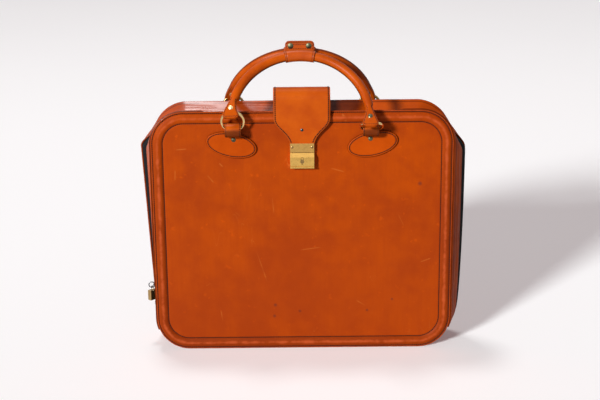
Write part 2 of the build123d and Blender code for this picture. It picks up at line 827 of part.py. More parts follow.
def make_pull():
    """Flat pull with an eye round the lower slider's bail; its cross bar is the hinge."""
    arm_y = bail_width / 2 + edge_gap + pull_arm / 2
    eye_end = bail_span / 2 + bail_post + 0.8
    pull = Rot(90, 0, 0) * Cylinder(pull_arm / 2, 2 * arm_y)
    for side in (-1, 1):
        pull += Pos(0, side * arm_y, -eye_end / 2) * Box(pull_arm, pull_arm, eye_end + pull_arm)
    face = RectangleRounded(2 * arm_y + pull_arm, pull_length, 1.2)
    flat = Plane(origin=(-pull_arm / 2, 0, -eye_end - pull_length / 2), x_dir=(0, 1, 0),
                 z_dir=(1, 0, 0)) * face
    return pull + extrude(flat, amount=pull_arm)


def make_padlock(ring_centre):
    """Padlock body and shackle, hung on the lowest point of the pull ring."""
    bar_z = ring_centre.Z - pull_ring_radius
    crown = bar_z + pull_ring_wire + shackle_wire + shackle_gap
    place = Location((ring_centre.X, ring_centre.Y, crown), (0, 0, padlock_turn))
    half = shackle_radius
    path = Wire([
        Line((-half, 0, -half - shackle_leg), (-half, 0, -half)),
        ThreePointArc((-half, 0, -half), (0, 0, 0), (half, 0, -half)),
        Line((half, 0, -half), (half, 0, -half - shackle_leg)),
    ])
    shackle = sweep(Plane(origin=path @ 0, z_dir=(0, 0, 1)) * Circle(shackle_wire), path=path)
    body_top = -half - shackle_leg * 0.45
    body = Pos(0, 0, body_top - lock_body_height / 2) * Box(
        lock_body_width, lock_body_thick, lock_body_height)
    body = fillet(body.edges().filter_by(Axis.Z), 1.2)
    for side in (-1, 1):
        socket = Pos(side * half, 0, body_top - shackle_leg / 2) * Cylinder(
            shackle_wire + rivet_gap, shackle_leg + 2 * seat_gap)
        body -= socket
    return place * body, place * shackle, Vector(ring_centre.X, ring_centre.Y, bar_z)


# Panels, cores and boards
front_panel = make_panel()
border_core = make_border_core()
front_board = slab(border_start + 2.5, board_back, panel_back)
patch_bores = [patch_hole(side, rivet_shank + rivet_gap) for side in (-1, 1)]
back_panel, back_board = mirrored(front_panel), mirrored(front_board)
for side, bore in zip((-1, 1), patch_bores):
    front_panel -= bore
    front_board -= bore
    back_bore = Pos(side * (back_ring_x - ring_x), 0, 0) * mirrored(bore)
    back_panel -= back_bore
    back_board -= back_bore
staple_pit = Pos(0, -half_depth, flap_tip - staple_height / 2 - edge_gap) * Box(
    2 * staple_half + 1, 2.4, staple_height + 1)
save("front_panel", front_panel - staple_pit)
save("back_panel", back_panel)
save("front_border_core", border_core)
save("back_border_core", mirrored(border_core))
save("front_board", front_board)
save("back_board", back_board)
washer_room = board_back - 1.0
back_lining = slab(border_start + 5.2, washer_room - lining, washer_room)
save("back_lining", mirrored(back_lining))

# Gussets and pocket
wall_front = board_back - pocket_depth
mouth = Pos(0, -(wall_front + depth / 2), height) * Box(2 * mouth_half, depth, 4 * top_valley)
save("front_gusset", make_gusset(1) - mouth)
save("back_gusset", make_gusset(-1))
save("bottom_gusset", make_bottom_gusset())
save("bottom_board", Pos(0, 0, gusset_leather + board / 2) * Box(
    2 * corner_x, 2 * (panel_back - board - 4), board))
save("pocket_wall", make_pocket_wall())

# Zip
front_chain, front_stops = make_zip_half()
save("front_zip_tape", make_tape(1))
save("back_zip_tape", make_tape(-1))
save("front_zip_chain", front_chain)
save("back_zip_chain", mirrored(front_chain))
save("front_zip_stops", *front_stops)
save("back_zip_stops", *[mirrored(stop) for stop in front_stops])
wire_x = slider_face - bail_reach / 2
save("upper_slider", zip_place(upper_slider_height) * (slider_body() + bail(True)))
save("lower_slider", zip_place(lower_slider_height) * (slider_body() + bail(False)))
pull_spot = zip_place(lower_slider_height) * Pos(wire_x, 0, 0)
save("slider_pull", pull_spot * make_pull())
ring_spot = zip_place(upper_slider_height) * Pos(wire_x - pull_ring_radius, 0, 0)
ring_centre = ring_spot.position
save("pull_ring", Plane(origin=ring_centre, z_dir=(0, 1, 0)) * Torus(
    pull_ring_radius, pull_ring_wire))
padlock_body, padlock_shackle, padlock_axis = make_padlock(ring_centre)
save("padlock_body", padlock_body)
save("padlock_shackle", padlock_shackle)

# Flap, hasp and lock
hasp, hasp_rivets, hasp_holes = make_hasp()
flap = make_flap()
spot_front = flap_face(flap_spot_height)
spot = peg(0, flap_spot_height, spot_front - 1.5, spot_front + 0.2, 1.6) + dome(
    0, flap_spot_height, spot_front + 0.2, 2.6, 0.8)
flap -= peg(0, flap_spot_height, spot_front - 1.5, spot_front + 1, 1.6 + rivet_gap)
for hole in hasp_holes:
    flap -= hole
    hasp -= hole
save("flap", flap)
save("flap_stud", spot)
save("flap_base", make_flap_base())
save("hasp", hasp)
save("hasp_rivets", *hasp_rivets)
lock_plate, lock_case, cover_pin = make_lock()
save("lock_base", lock_plate)
save("lock_case", lock_case)
save("key_cover_pin", cover_pin)
save("key_cover", make_key_cover())

# Rings, loops and patches
front_slope = handle_slope(front_ring_lean, front_apex_height)
back_slope = handle_slope(back_ring_lean, back_apex_height)
front_leans = (front_ring_lean, folded_ring_lean)
further = back_ring_x - ring_x
for side, name, lean, bore in ((-1, "left", front_leans[0], patch_bores[0]),
                               (1, "right", front_leans[1], patch_bores[1])):
    save(f"front_{name}_ring", make_ring(side * ring_x, lean))
    save(f"back_{name}_ring", mirrored(make_ring(side * back_ring_x, back_ring_lean)))
    loop = make_loop(side) - bore
    patch = make_patch(side) - bore
    save(f"front_{name}_loop", loop)
    save(f"back_{name}_loop", Pos(side * further, 0, 0) * mirrored(loop))
    save(f"front_{name}_patch", patch)
    save(f"back_{name}_patch", Pos(side * further, 0, 0) * mirrored(patch))
patch_rivets = [make_patch_rivet(side) for side in (-1, 1)]
save("front_patch_rivets", *patch_rivets)
save("back_patch_rivets", *[Pos(side * further, 0, 0) * mirrored(rivet)
                            for side, rivet in zip((-1, 1), patch_rivets)])

# Handles and grips
handle, core, rivets = make_handle(front_slope, front_apex_height, front_handle_radius, [
    (-ring_x, front_leans[0], raised_eye), (ring_x, front_leans[1], folded_eye)])
save("front_handle", handle)
save("front_handle_core", core)
save("front_handle_rivets", *rivets)
grip, fin_front, snap_z = make_grip(front_slope, front_apex_height, front_handle_radius)
save("front_grip", grip)
save("front_snaps", *[make_front_snap(side, fin_front, snap_z) for side in (-1, 1)])
handle, core, rivets = make_handle(back_slope, back_apex_height, back_handle_radius, [
    (side * back_ring_x, back_ring_lean, raised_eye) for side in (-1, 1)])
save("back_handle", mirrored(handle))
save("back_handle_core", mirrored(core))
save("back_handle_rivets", *[mirrored(rivet) for rivet in rivets])
grip, fin_front, snap_z = make_grip(back_slope, back_apex_height, back_handle_radius)
save("back_grip", mirrored(grip))
save("back_snaps", *[mirrored(make_back_snap(side, fin_front, snap_z)) for side in (-1, 1)])

os.makedirs("parts", exist_ok=True)
for name, shape in nodes.items():
    export_step(shape, f"parts/{name}.step")

print("sub-parts:", len(nodes))
print("handle slopes:", round(front_slope, 4), round(back_slope, 4), "loop at", loop_forward)
print("pull ring centre:", ring_centre, "padlock axis:", padlock_axis)
print("slider pull axis:", pull_spot.position)
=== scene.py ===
import math

import bmesh
import bpy
from mathutils import Matrix, Vector, noise


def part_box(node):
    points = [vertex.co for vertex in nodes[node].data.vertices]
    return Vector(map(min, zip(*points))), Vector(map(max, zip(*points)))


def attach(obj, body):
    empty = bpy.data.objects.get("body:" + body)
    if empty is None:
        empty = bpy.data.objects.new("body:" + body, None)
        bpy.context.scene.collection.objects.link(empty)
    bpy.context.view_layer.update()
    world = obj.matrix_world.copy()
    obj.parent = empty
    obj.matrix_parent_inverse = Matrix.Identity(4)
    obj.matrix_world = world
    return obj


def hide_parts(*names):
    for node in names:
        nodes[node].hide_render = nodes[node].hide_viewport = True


# The looks of a leather suitcase around its CAD frame.
# Shapes are worked out in millimetres and kept in metres. "f" is a distance forward of the
# middle plane (f = -y), "inset" one inward from the case's outline.

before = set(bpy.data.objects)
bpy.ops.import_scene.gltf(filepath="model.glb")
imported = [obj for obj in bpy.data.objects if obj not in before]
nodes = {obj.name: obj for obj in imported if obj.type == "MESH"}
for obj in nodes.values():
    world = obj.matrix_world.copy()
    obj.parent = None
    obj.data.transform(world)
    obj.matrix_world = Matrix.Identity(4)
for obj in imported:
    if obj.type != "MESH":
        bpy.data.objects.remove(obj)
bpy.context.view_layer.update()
MM = 0.001


def span(node):
    """Lowest and highest corner of a CAD node, in millimetres."""
    low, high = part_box(node)
    return low / MM, high / MM


# Sizes read from the frame, or repeated from the part's source
panel_low, panel_high = span("front_panel")
width = panel_high.x - panel_low.x
height = panel_high.z - panel_low.z
roll_rise = 2.6
panel_back = -panel_high.y
panel_leather = 2.2
half_depth = panel_back + panel_leather
corner_radius = 57.0
corner_x = width / 2 - corner_radius
corner_z = height - corner_radius
border_start = 3.8
border_end = 19.5
outer_seam = 2.9
inner_seam = border_end + 0.9
stitch_pitch = 3.4
quarter_steps = 96

# Swell of the soft sides: left high, left low, right high, right low
front_edge_swell = (8.4, -1.6, 16.2, 11.0)
zip_swell = (18.2, 3.0, 26.0, 17.0)
back_edge_swell = (21.8, 5.5, 25.6, 16.6)
low_height = 58.0
belly_rise = 26.0
belly_out = 0.65
belly_reach = 110.0
end_bulge = 2.0
quarter = 0.5523
shoulders = {-1: (14.0, 0.25, 0.10), 1: (22.0, 0.35, 0.10)}
top_valley = 18.0
zip_end_height = 36.0
mid_share = 0.55
tape_half = 15.0
tape_inset = 1.4
chain_edge = 3.4
coil_pitch = 2.1
gusset_leather = 2.8
border_seam = 4.6
zip_seam = 2.2
mouth_half = 165.0
mouth_back = 34.8

flap_half = 48.0
flap_bend = 20.0
flap_back = 15.4
flap_hinge_height = 445.0
flap_straight_end = 410.0
flap_tip = 360.0
flap_tip_half = 20.4
flap_lean = 3.3
flap_leather = 4.0
flap_seam = 3.2
flap_sewn = (0.01, 0.90)
flap_front = flap_back + 2 * flap_bend

# Rings, loops, patches and handles
ring_radius = 18.7
ring_x = {1: 116.0, -1: 120.0}
loop_height = 396.5
loop_forward = 13.19
loop_radius = 12.69
loop_under = 10.9
loop_half = 13.8
loop_seam = 2.4
patch_long = 44.0
patch_short = 22.0
patch_rise = 3.8
patch_tilt = 12.0
patch_out = 4.0
patch_seam = 3.3
fine_pitch = 3.0
patch_height = 369.5
handle_shift = -2.5
tube_radius = 8.0
apex_forward = 11.0
flare_half = 13.5
flare_thick = 8.0
flare_length = 41.0
flare_straight = 7.5
flare_round = 6.0
flare_seam = 2.3
flare_pitch = 3.2
tube_pitch = 3.6
neck_half = 5.9
neck_at = 0.74
grip_half = 25.5
grip_radius = 9.95
hem_seam = 3.2
hem_end = 3.8
hem_pitch = 3.1
fin_back = 1.8
fin_thick = 2.5
fin_rise = 19.8
fin_round = 7.0
fin_seam = 2.2


# Camera, floor and light


def put(name, data):
    """A new object in the scene."""
    made = bpy.data.objects.new(name, data)
    bpy.context.scene.collection.objects.link(made)
    return made


def make_camera():
    """The photograph's view: a long lens a little above the case, tipped down and rolled."""
    pitch = math.radians(15.2)
    roll = math.radians(-0.55)
    lens = bpy.data.cameras.new("camera")
    lens.sensor_width = 36
    lens.lens = 76.1
    lens.clip_end = 100
    camera = put("camera", lens)
    turn = Matrix.Rotation(math.radians(90) - pitch, 4, "X") @ Matrix.Rotation(roll, 4, "Z")
    camera.matrix_world = Matrix.Translation((-0.0044, -2.150, 0.843)) @ turn
    bpy.context.scene.camera = camera


def make_light(name, kind, spot, away, energy, **settings):
    """A light at a spot that shines from the direction away."""
    light = bpy.data.lights.new(name, kind)
    light.energy = energy
    for key, value in settings.items():
        setattr(light, key, value)
    turn = away.to_track_quat("Z", "Y").to_matrix().to_4x4()
    put(name, light).matrix_world = Matrix.Translation(spot) @ turn


# Materials


class Value:
    """A shader value that takes part in Python expressions."""

    def __init__(self, finish, socket):
        self.finish = finish
        self.socket = socket

    def math(self, operation, first, second=None):
        return self.finish.make("ShaderNodeMath", {"operation": operation}, {0: first, 1: second})

    def __add__(self, other):
        return self.math("ADD", self, other)

    def __radd__(self, other):
        return self.math("ADD", other, self)

    def __sub__(self, other):
        return self.math("SUBTRACT", self, other)

    def __mul__(self, other):
        return self.math("MULTIPLY", self, other)

    def __abs__(self):
        return self.math("ABSOLUTE", self)


class Nodes:
    """An emptied node tree and a short way to make its nodes."""

    def __init__(self, tree):
        self.tree = tree
        tree.nodes.clear()

    def make(self, kind, settings=None, values=None, output=0):
        """Any node: its settings first, then the values or links of its sockets."""
        node = self.tree.nodes.new(kind)
        for key, value in (settings or {}).items():
            if key == "stops":
                ramp = node.color_ramp
                while len(ramp.elements) < len(value):
                    ramp.elements.new(0.5)
                for element, (spot, colour) in zip(ramp.elements, value):
                    element.position = spot
                    element.color = (*colour, 1)
            else:
                setattr(node, key, value)
        for key, value in (values or {}).items():
            if isinstance(value, Value):
                self.tree.links.new(value.socket, node.inputs[key])
            elif value is not None:
                node.inputs[key].default_value = value
        return Value(self, node.outputs[output])


class Finish(Nodes):
    """One material, with a Principled shader and short ways to make its other nodes."""

    def __init__(self, name, **constants):
        self.material = bpy.data.materials.new(name)
        self.material.use_nodes = True
        super().__init__(self.material.node_tree)
        output = self.tree.nodes.new("ShaderNodeOutputMaterial")
        self.shader = self.tree.nodes.new("ShaderNodeBsdfPrincipled")
        self.tree.links.new(self.shader.outputs[0], output.inputs[0])
        for key, value in constants.items():
            self.shader.inputs[key.replace("_", " ")].default_value = value
        self.place = self.make("ShaderNodeTexCoord", output="Object")

    def stretched(self, scale):
        """Object coordinates stretched along the axes."""
        return self.make("ShaderNodeMapping", None, {"Vector": self.place, "Scale": scale})

    def noise(self, scale, detail=3.0, rough=0.5, place=None, warp=0.0):
        values = {"Vector": place or self.place, "Scale": scale, "Detail": detail,
                  "Roughness": rough, "Distortion": warp}
        return self.make("ShaderNodeTexNoise", None, values)

    def cells(self, scale):
        return self.make("ShaderNodeTexVoronoi", None, {"Vector": self.place, "Scale": scale})

    def ramp(self, value, low, high, to_low=0.0, to_high=1.0):
        """A smooth step of value from low to high."""
        values = {"Value": value, "From Min": low, "From Max": high,
                  "To Min": to_low, "To Max": to_high}
        return self.make("ShaderNodeMapRange", {"interpolation_type": "SMOOTHSTEP"}, values)

    def mix(self, share, first, second, blend="MIX"):
        def colour(c):
            return c if isinstance(c, Value) else (*c, 1)

        settings = {"data_type": "RGBA", "blend_type": blend, "clamp_factor": True}
        return self.make("ShaderNodeMix", settings,
                         {0: share, 6: colour(first), 7: colour(second)}, 2)

    def axis(self, name):
        return self.make("ShaderNodeSeparateXYZ", None, {0: self.place}, name)

    def attribute(self, name):
        return self.make("ShaderNodeAttribute", {"attribute_name": name}, None, "Fac")

    def near(self, spot, inner, outer):
        """1 within inner of a spot and 0 beyond outer."""
        away = self.make("ShaderNodeVectorMath", {"operation": "DISTANCE"},
                         {0: self.place, 1: spot}, "Value")
        return self.ramp(away, inner, outer, 1.0, 0.0)

    def bump(self, height, distance, strength=1.0, normal=None):
        return self.make("ShaderNodeBump", None, {
            "Height": height, "Distance": distance, "Strength": strength, "Normal": normal})

    def set(self, **links):
        for key, value in links.items():
            self.tree.links.new(value.socket, self.shader.inputs[key.replace("_", " ")])
        return self.material


def leather(name, light, dark, gloss=0.42, shine=0.2, upright=False, seam=False, spots=(),
            scratches=(), polish=None):
    """Waxed leather: cloudy colour, fine grain, pores, faint scratches and smears."""
    finish = Finish(name, IOR=1.45, Specular_IOR_Level=shine, Coat_Roughness=0.24)
    cloud = finish.noise(7.0, 4.0, 0.6, warp=0.4)
    patch = finish.noise(38.0, 3.0, 0.55)
    colour = finish.mix(finish.ramp(cloud + (patch - 0.5) * 0.5, 0.3, 0.7), dark, light)
    if upright:
        smear_place = finish.stretched((55.0, 55.0, 5.0))
        smear = finish.noise(1.0, 3.0, 0.6, smear_place)
        shade = finish.ramp(smear, 0.35, 0.8, 0.0, 0.40)
        colour = finish.mix(shade, colour, dark)
        streak = finish.noise(1.0, 4.0, 0.65, finish.stretched((260.0, 260.0, 14.0)))
        colour = finish.mix(finish.ramp(streak, 0.45, 0.75, 0.0, 0.35), colour, dark)
        fleck = finish.ramp(finish.noise(95.0, 2.0, 0.5), 0.66, 0.76, 0.0, 0.35)
        colour = finish.mix(fleck, colour, tuple(min(1, c * 1.5) for c in light))
        low = finish.ramp(finish.axis("Z"), 0.02, 0.36, 0.42, 0.0)
        colour = finish.mix(low, colour, tuple(c * k for c, k in zip(dark, (0.95, 0.98, 2.6))))
    scratch_place = finish.stretched((9.0, 9.0, 2.2))
    lines = finish.noise(3.2, 2.0, 0.5, scratch_place, 1.6)
    thin = finish.ramp(abs(lines - 0.5), 0.0, 0.0035, 1.0, 0.0)
    where = finish.ramp(finish.noise(14.0, 2.0), 0.60, 0.72)
    scratch = thin * where
    colour = finish.mix(scratch * 0.38, colour, (0.60, 0.20, 0.04))
    for x0, z0, x1, z1, wide in scratches:
        length = math.hypot(x1 - x0, z1 - z0)
        run_x, run_z = (x1 - x0) / length, (z1 - z0) / length
        away_x = finish.axis("X") - (x0 + x1) / 2
        away_z = finish.axis("Z") - (z0 + z1) / 2
        beside = abs(away_z * run_x - away_x * run_z)
        beyond = abs(away_x * run_x + away_z * run_z)
        line = (finish.ramp(beside, wide * 0.2, wide, 1.0, 0.0)
                * finish.ramp(beyond, length * 0.3, length * 0.5, 1.0, 0.0))
        colour = finish.mix(line * finish.ramp(patch, 0.35, 0.6, 0.08, 0.32), colour,
                            (0.56, 0.17, 0.03))
    for spot, size in spots:
        mark = finish.near(spot, size * 0.2, size)
        colour = finish.mix(mark * 0.6, colour, (0.085, 0.018, 0.012))
    rough = gloss + (finish.noise(22.0, 4.0, 0.6) - 0.5) * 0.30 + patch * 0.06
    if polish:
        spot, inner, outer, share = polish
        worn_bright = finish.near(spot, inner, outer) * share
        finish.set(Coat_Weight=worn_bright * finish.ramp(cloud, 0.30, 0.55, 0.6, 1.0))
    # Where the 'seam' layer is high the colour darkens: grime at seams and edges, and painted shade
    # and painted shadow where a piece puts them (the gusset's top beside the flap, the loops'
    # downward faces).
    if seam:
        darkening = finish.attribute("seam")
        colour = finish.mix(darkening, colour, tuple(c * 0.10 for c in dark))
        wear = finish.attribute("wear")
        worn = finish.ramp(finish.noise(60.0, 4.0, 0.7) * wear, 0.24, 0.6, 0.0, 0.65)
        colour = finish.mix(worn, colour, tuple(min(1, c * 1.25 + 0.02) for c in light))
        rough = rough + wear * 0.04
    pores = finish.cells(900.0)
    folds = finish.noise(520.0, 3.0, 0.6)
    dents = finish.noise(30.0, 2.0, 0.4)
    fine = finish.bump(pores * 0.5 + folds, 0.00012, 0.35)
    soft = finish.bump(dents, 0.0011, 0.35, fine)
    return finish.set(Base_Color=colour, Roughness=rough, Normal=soft)


def metal(name, light, dark, gloss, brushed=None, stain=0.4, shaded_right=False):
    """Polished or brushed metal with tarnish in blotches and small marks."""
    finish = Finish(name, Metallic=1.0)
    blotch = finish.noise(120.0, 5.0, 0.65)
    colour = finish.mix(finish.ramp(blotch, 0.42, 0.75, 0.0, stain), light, dark)
    # Painted shade: pieces right of the middle, away from the light, take the dark colour.
    if shaded_right:
        colour = finish.mix(finish.ramp(finish.axis("X"), -0.01, 0.01), colour, dark)
    rough = gloss + (finish.noise(260.0, 4.0, 0.6) - 0.5) * 0.22
    height = finish.noise(700.0, 3.0, 0.6)
    if brushed:
        lines = finish.noise(1.0, 4.0, 0.65, finish.stretched(brushed))
        rough = rough + (lines - 0.5) * 0.20
        height = height + lines
    return finish.set(Base_Color=colour, Roughness=rough, Normal=finish.bump(height, 0.00006, 0.5))


def cloth(name, light, dark, pitch, gloss=0.85):
    """Close woven cloth: ribs both ways, lint and faded patches."""
    finish = Finish(name, Specular_IOR_Level=0.12)
    ribs = finish.make("ShaderNodeTexWave", {"bands_direction": "Z"}, {
        "Vector": finish.place, "Scale": 1 / (pitch * 6.28), "Distortion": 0.6})
    cross = finish.make("ShaderNodeTexWave", {"bands_direction": "Y"}, {
        "Vector": finish.place, "Scale": 1 / (pitch * 6.28), "Distortion": 0.6})
    lint = finish.noise(300.0, 4.0, 0.7)
    colour = finish.mix(finish.ramp(lint, 0.45, 0.8, 0.0, 0.6), dark, light)
    rough = gloss + (lint - 0.5) * 0.2
    weave = finish.bump(ribs * 0.6 + cross * 0.4 + lint * 0.4, 0.00025, 0.7)
    return finish.set(Base_Color=colour, Roughness=rough, Normal=weave)


ORANGE = (0.345, 0.044, 0.000)
RUST = (0.26, 0.029, 0.001)

panel_spots = [
    ((0.2015, -0.046, 0.2986), 0.0050),
    ((-0.0493, -0.046, 0.0805), 0.0044),
    ((-0.0511, -0.046, 0.0599), 0.0040),
    ((-0.0063, -0.046, 0.0688), 0.0036),
    ((0.1555, -0.046, 0.0896), 0.0033),
    ((0.1117, -0.046, 0.0695), 0.0035),
]
panel_scratches = [
    (-0.2161, 0.3616, -0.1957, 0.3631, 0.0012),
    (-0.2173, 0.3266, -0.218, 0.3072, 0.00108),
    (-0.163, 0.3172, -0.1514, 0.303, 0.00132),
    (-0.1419, 0.3381, -0.1353, 0.331, 0.00156),
    (-0.0817, 0.1821, -0.0618, 0.1196, 0.00096),
    (-0.1166, 0.251, -0.1081, 0.2438, 0.00132),
    (-0.1704, 0.117, -0.1615, 0.1224, 0.0012),
    (-0.1453, 0.0721, -0.1424, 0.0496, 0.00108),
    (0.0473, 0.3275, 0.073, 0.3202, 0.00096),
    (0.1644, 0.2447, 0.175, 0.223, 0.00096),
    (0.2037, 0.1573, 0.2227, 0.1644, 0.00108),
    (0.0923, 0.0883, 0.1099, 0.077, 0.00096),
    (-0.0052, 0.1813, 0.033, 0.1864, 0.00084),
    (-0.0524, 0.279, -0.0495, 0.2468, 0.00084),
]
front_leather = leather("front panel leather", ORANGE, RUST, 0.46, 0.06, upright=True, seam=True,
                        spots=panel_spots, scratches=panel_scratches)
back_leather = leather("back panel leather", ORANGE, RUST, 0.46, 0.06, upright=True, seam=True)
side_leather = leather("gusset leather", (0.42, 0.055, 0.001), (0.27, 0.031, 0.001), 0.44, 0.05,
                       seam=True, polish=((-0.180, -0.020, 0.440), 0.05, 0.17, 0.85))
base_leather = leather("base leather", (0.36, 0.052, 0.004), (0.22, 0.030, 0.004), 0.50, 0.2)
seamed = {
    name: leather(f"{name} leather", light, dark, gloss, shine, seam=True)
    for name, light, dark, gloss, shine in (
        ("flap", (0.43, 0.068, 0.001), (0.34, 0.044, 0.001), 0.40, 0.10),
        ("handle", (0.42, 0.062, 0.001), (0.27, 0.032, 0.001), 0.32, 0.10),
        ("grip", (0.40, 0.058, 0.002), (0.30, 0.036, 0.001), 0.34, 0.22),
        ("strap", (0.44, 0.070, 0.001), (0.30, 0.040, 0.001), 0.38, 0.12),
        ("patch", (0.385, 0.049, 0.000), (0.32, 0.038, 0.000), 0.42, 0.06))
}
brass = metal("lock brass", (0.80, 0.46, 0.12), (0.44, 0.24, 0.06), 0.30, (40.0, 40.0, 900.0))
ring_brass = metal("ring brass", (0.84, 0.62, 0.28), (0.36, 0.22, 0.08), 0.20)
rivet_brass = metal("rivet brass", (0.84, 0.66, 0.34), (0.10, 0.10, 0.06), 0.34, stain=0.25,
                    shaded_right=True)
# Dark brass: the key cover and hasp rivets in their own dark colour, and the back rings as painted
# shade.
dark_and_shaded_brass = metal("dark and shaded brass", (0.32, 0.19, 0.07), (0.10, 0.07, 0.03), 0.36, stain=0.7)
hasp_brass = metal("hasp brass", (0.68, 0.38, 0.11), (0.40, 0.22, 0.06), 0.30, (40.0, 40.0, 900.0))
padlock_brass = metal("padlock brass", (0.46, 0.29, 0.12), (0.24, 0.15, 0.06), 0.42)
aged_brass = metal("aged brass", (0.13, 0.125, 0.07), (0.04, 0.04, 0.03), 0.46, stain=0.9)
steel = metal("shackle steel", (0.74, 0.74, 0.73), (0.35, 0.34, 0.33), 0.16)
dark_steel = metal("dark steel", (0.12, 0.12, 0.125), (0.05, 0.05, 0.05), 0.32)
slider_black = metal("slider enamel", (0.05, 0.05, 0.052), (0.02, 0.02, 0.02), 0.35)
tape_cloth = cloth("zip tape", (0.012, 0.012, 0.014), (0.005, 0.005, 0.006), 0.0011)
lining_cloth = cloth("lining", (0.30, 0.19, 0.11), (0.20, 0.12, 0.07), 0.0012)
board_finish = cloth("board", (0.34, 0.23, 0.14), (0.24, 0.16, 0.09), 0.0020)


def thread(name, light, dark):
    """Waxed thread with a twist."""
    finish = Finish(name, Specular_IOR_Level=0.12)
    twist = finish.noise(900.0, 2.0)
    colour = finish.mix(finish.ramp(twist, 0.3, 0.7), dark, light)
    return finish.set(Base_Color=colour, Roughness=0.5 + twist * 0.2,
                      Normal=finish.bump(twist, 0.0001, 0.6))


coil_finish = thread("zip coil", (0.030, 0.030, 0.033), (0.010, 0.010, 0.012))
dark_thread = thread("dark thread", (0.011, 0.006, 0.006), (0.004, 0.003, 0.003))


# Mesh helpers


def gathered(distance, peak, fall):
    """What gathers at a seam or an edge: most on it, less with distance, down to 0."""
    return max(0.0, peak - abs(distance) * fall)


def reached(value, low, high):
    """How far a value has got from low to high, as 0 to 1."""
    return min(1.0, max(0.0, (value - low) / (high - low)))


def eased(t):
    """0 to 1 with a soft start and end."""
    return t * t * (3 - 2 * t)


def keep(name, bm, body, material, smooth):
    """A finished piece from a bmesh in millimetres: smooth, riding on its body, with its slot."""
    bmesh.ops.scale(bm, vec=(MM, MM, MM), verts=bm.verts)
    mesh = bpy.data.meshes.new(name)
    bm.to_mesh(mesh)
    bm.free()
    mesh.materials.append(material)
    mesh.shade_smooth()
    mesh.set_sharp_from_angle(angle=math.radians(smooth))
    piece = put(name, mesh)
    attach(piece, body)
    return piece


def make_sheet(name, columns, rows, place, body, material, closed=False, turned=False):
    """A sheet from a grid: place(u, v) gives its point, its darkening (grime at seams and edges,
    and painted shade and painted shadow where a piece puts them) and its wear.
    """
    bm = bmesh.new()
    bmesh.ops.create_grid(bm, x_segments=columns, y_segments=rows, size=0.5)
    seam = bm.verts.layers.float.new("seam")
    wear = bm.verts.layers.float.new("wear")
    for vert in bm.verts:
        vert.co, vert[seam], vert[wear] = place(vert.co.x + 0.5, vert.co.y + 0.5)
    if turned:
        bmesh.ops.reverse_faces(bm, faces=bm.faces)
    if closed:
        bmesh.ops.remove_doubles(bm, verts=bm.verts, dist=0.002)
        bmesh.ops.recalc_face_normals(bm, faces=bm.faces)
    return keep(name, bm, body, material, 60)


def thicken(piece, amount, round_edges=0.0):
    """Give a skin its leather's thickness, inward, and soften its cut edges."""
    wall = piece.modifiers.new("thickness", "SOLIDIFY")
    wall.thickness = amount * MM
    wall.offset = -1
    wall.use_even_offset = True
    if round_edges:
        soft = piece.modifiers.new("edges", "BEVEL")
        soft.width = round_edges * MM
        soft.segments = 2
        soft.limit_method = "ANGLE"
        soft.angle_limit = math.radians(50)


def stamp(name, seed, moves, body, material, smooth):
    """Many copies of one small shape, joined into a piece."""
    shape = bpy.data.meshes.new("seed")
    seed.to_mesh(shape)
    seed.free()
    bm = bmesh.new()
    for move in moves:
        shape.transform(move)
        bm.from_mesh(shape)
        shape.transform(move.inverted())
    bpy.data.meshes.remove(shape)
    return keep(name, bm, body, material, smooth)


def set_down(point, along, out):
    """The move that puts a small shape on a surface, its X along a line and its Z outward."""
    side = out.cross(along).normalized()
    return Matrix.Translation(point) @ Matrix((along, side, out)).transposed().to_4x4()


def evenly(spots, pitch, start=None):
    """Evenly spaced (point, along, out) on a line given by (point, out) pairs."""
    places = []
    walked, due = 0.0, pitch / 2 if start is None else start
    for (a, out_a), (b, out_b) in zip(spots, spots[1:]):
        step = (b - a).length
        while step > 0 and walked + step > due:
            t = (due - walked) / step
            along = (b - a).normalized()
            out = out_a.lerp(out_b, t)
            out = (out - along * out.dot(along)).normalized()
            places.append((a.lerp(b, t), along, out))
            due += pitch
        walked += step
    return places


def sew(name, places, body, length=3.1, thick=2.0):
    """One line of slanted stitches. places are (point, direction along, direction out)."""
    seed = bmesh.new()
    bmesh.ops.create_uvsphere(seed, u_segments=6, v_segments=5, radius=0.5)
    bmesh.ops.rotate(seed, verts=seed.verts, matrix=Matrix.Rotation(math.pi / 2, 3, "Y"))
    bmesh.ops.scale(seed, vec=(length, thick, thick * 0.8), verts=seed.verts)
    slant = Matrix.Rotation(math.radians(6.0), 4, "Z")
    moves = [set_down(*place) @ slant for place in places]
    return stamp(name, seed, moves, body, dark_thread, 180)


# Panels


def roll_height(inset):
    """Distance f of the panel's face at an inset: the border's roll, and the plain level elsewhere.
    """
    middle = (border_start + border_end) / 2
    reach = (border_end - border_start) / 2
    u = (inset - middle) / reach
    if abs(u) < 1:
        return half_depth + roll_rise * (1 - u * u) ** 0.55
    return half_depth


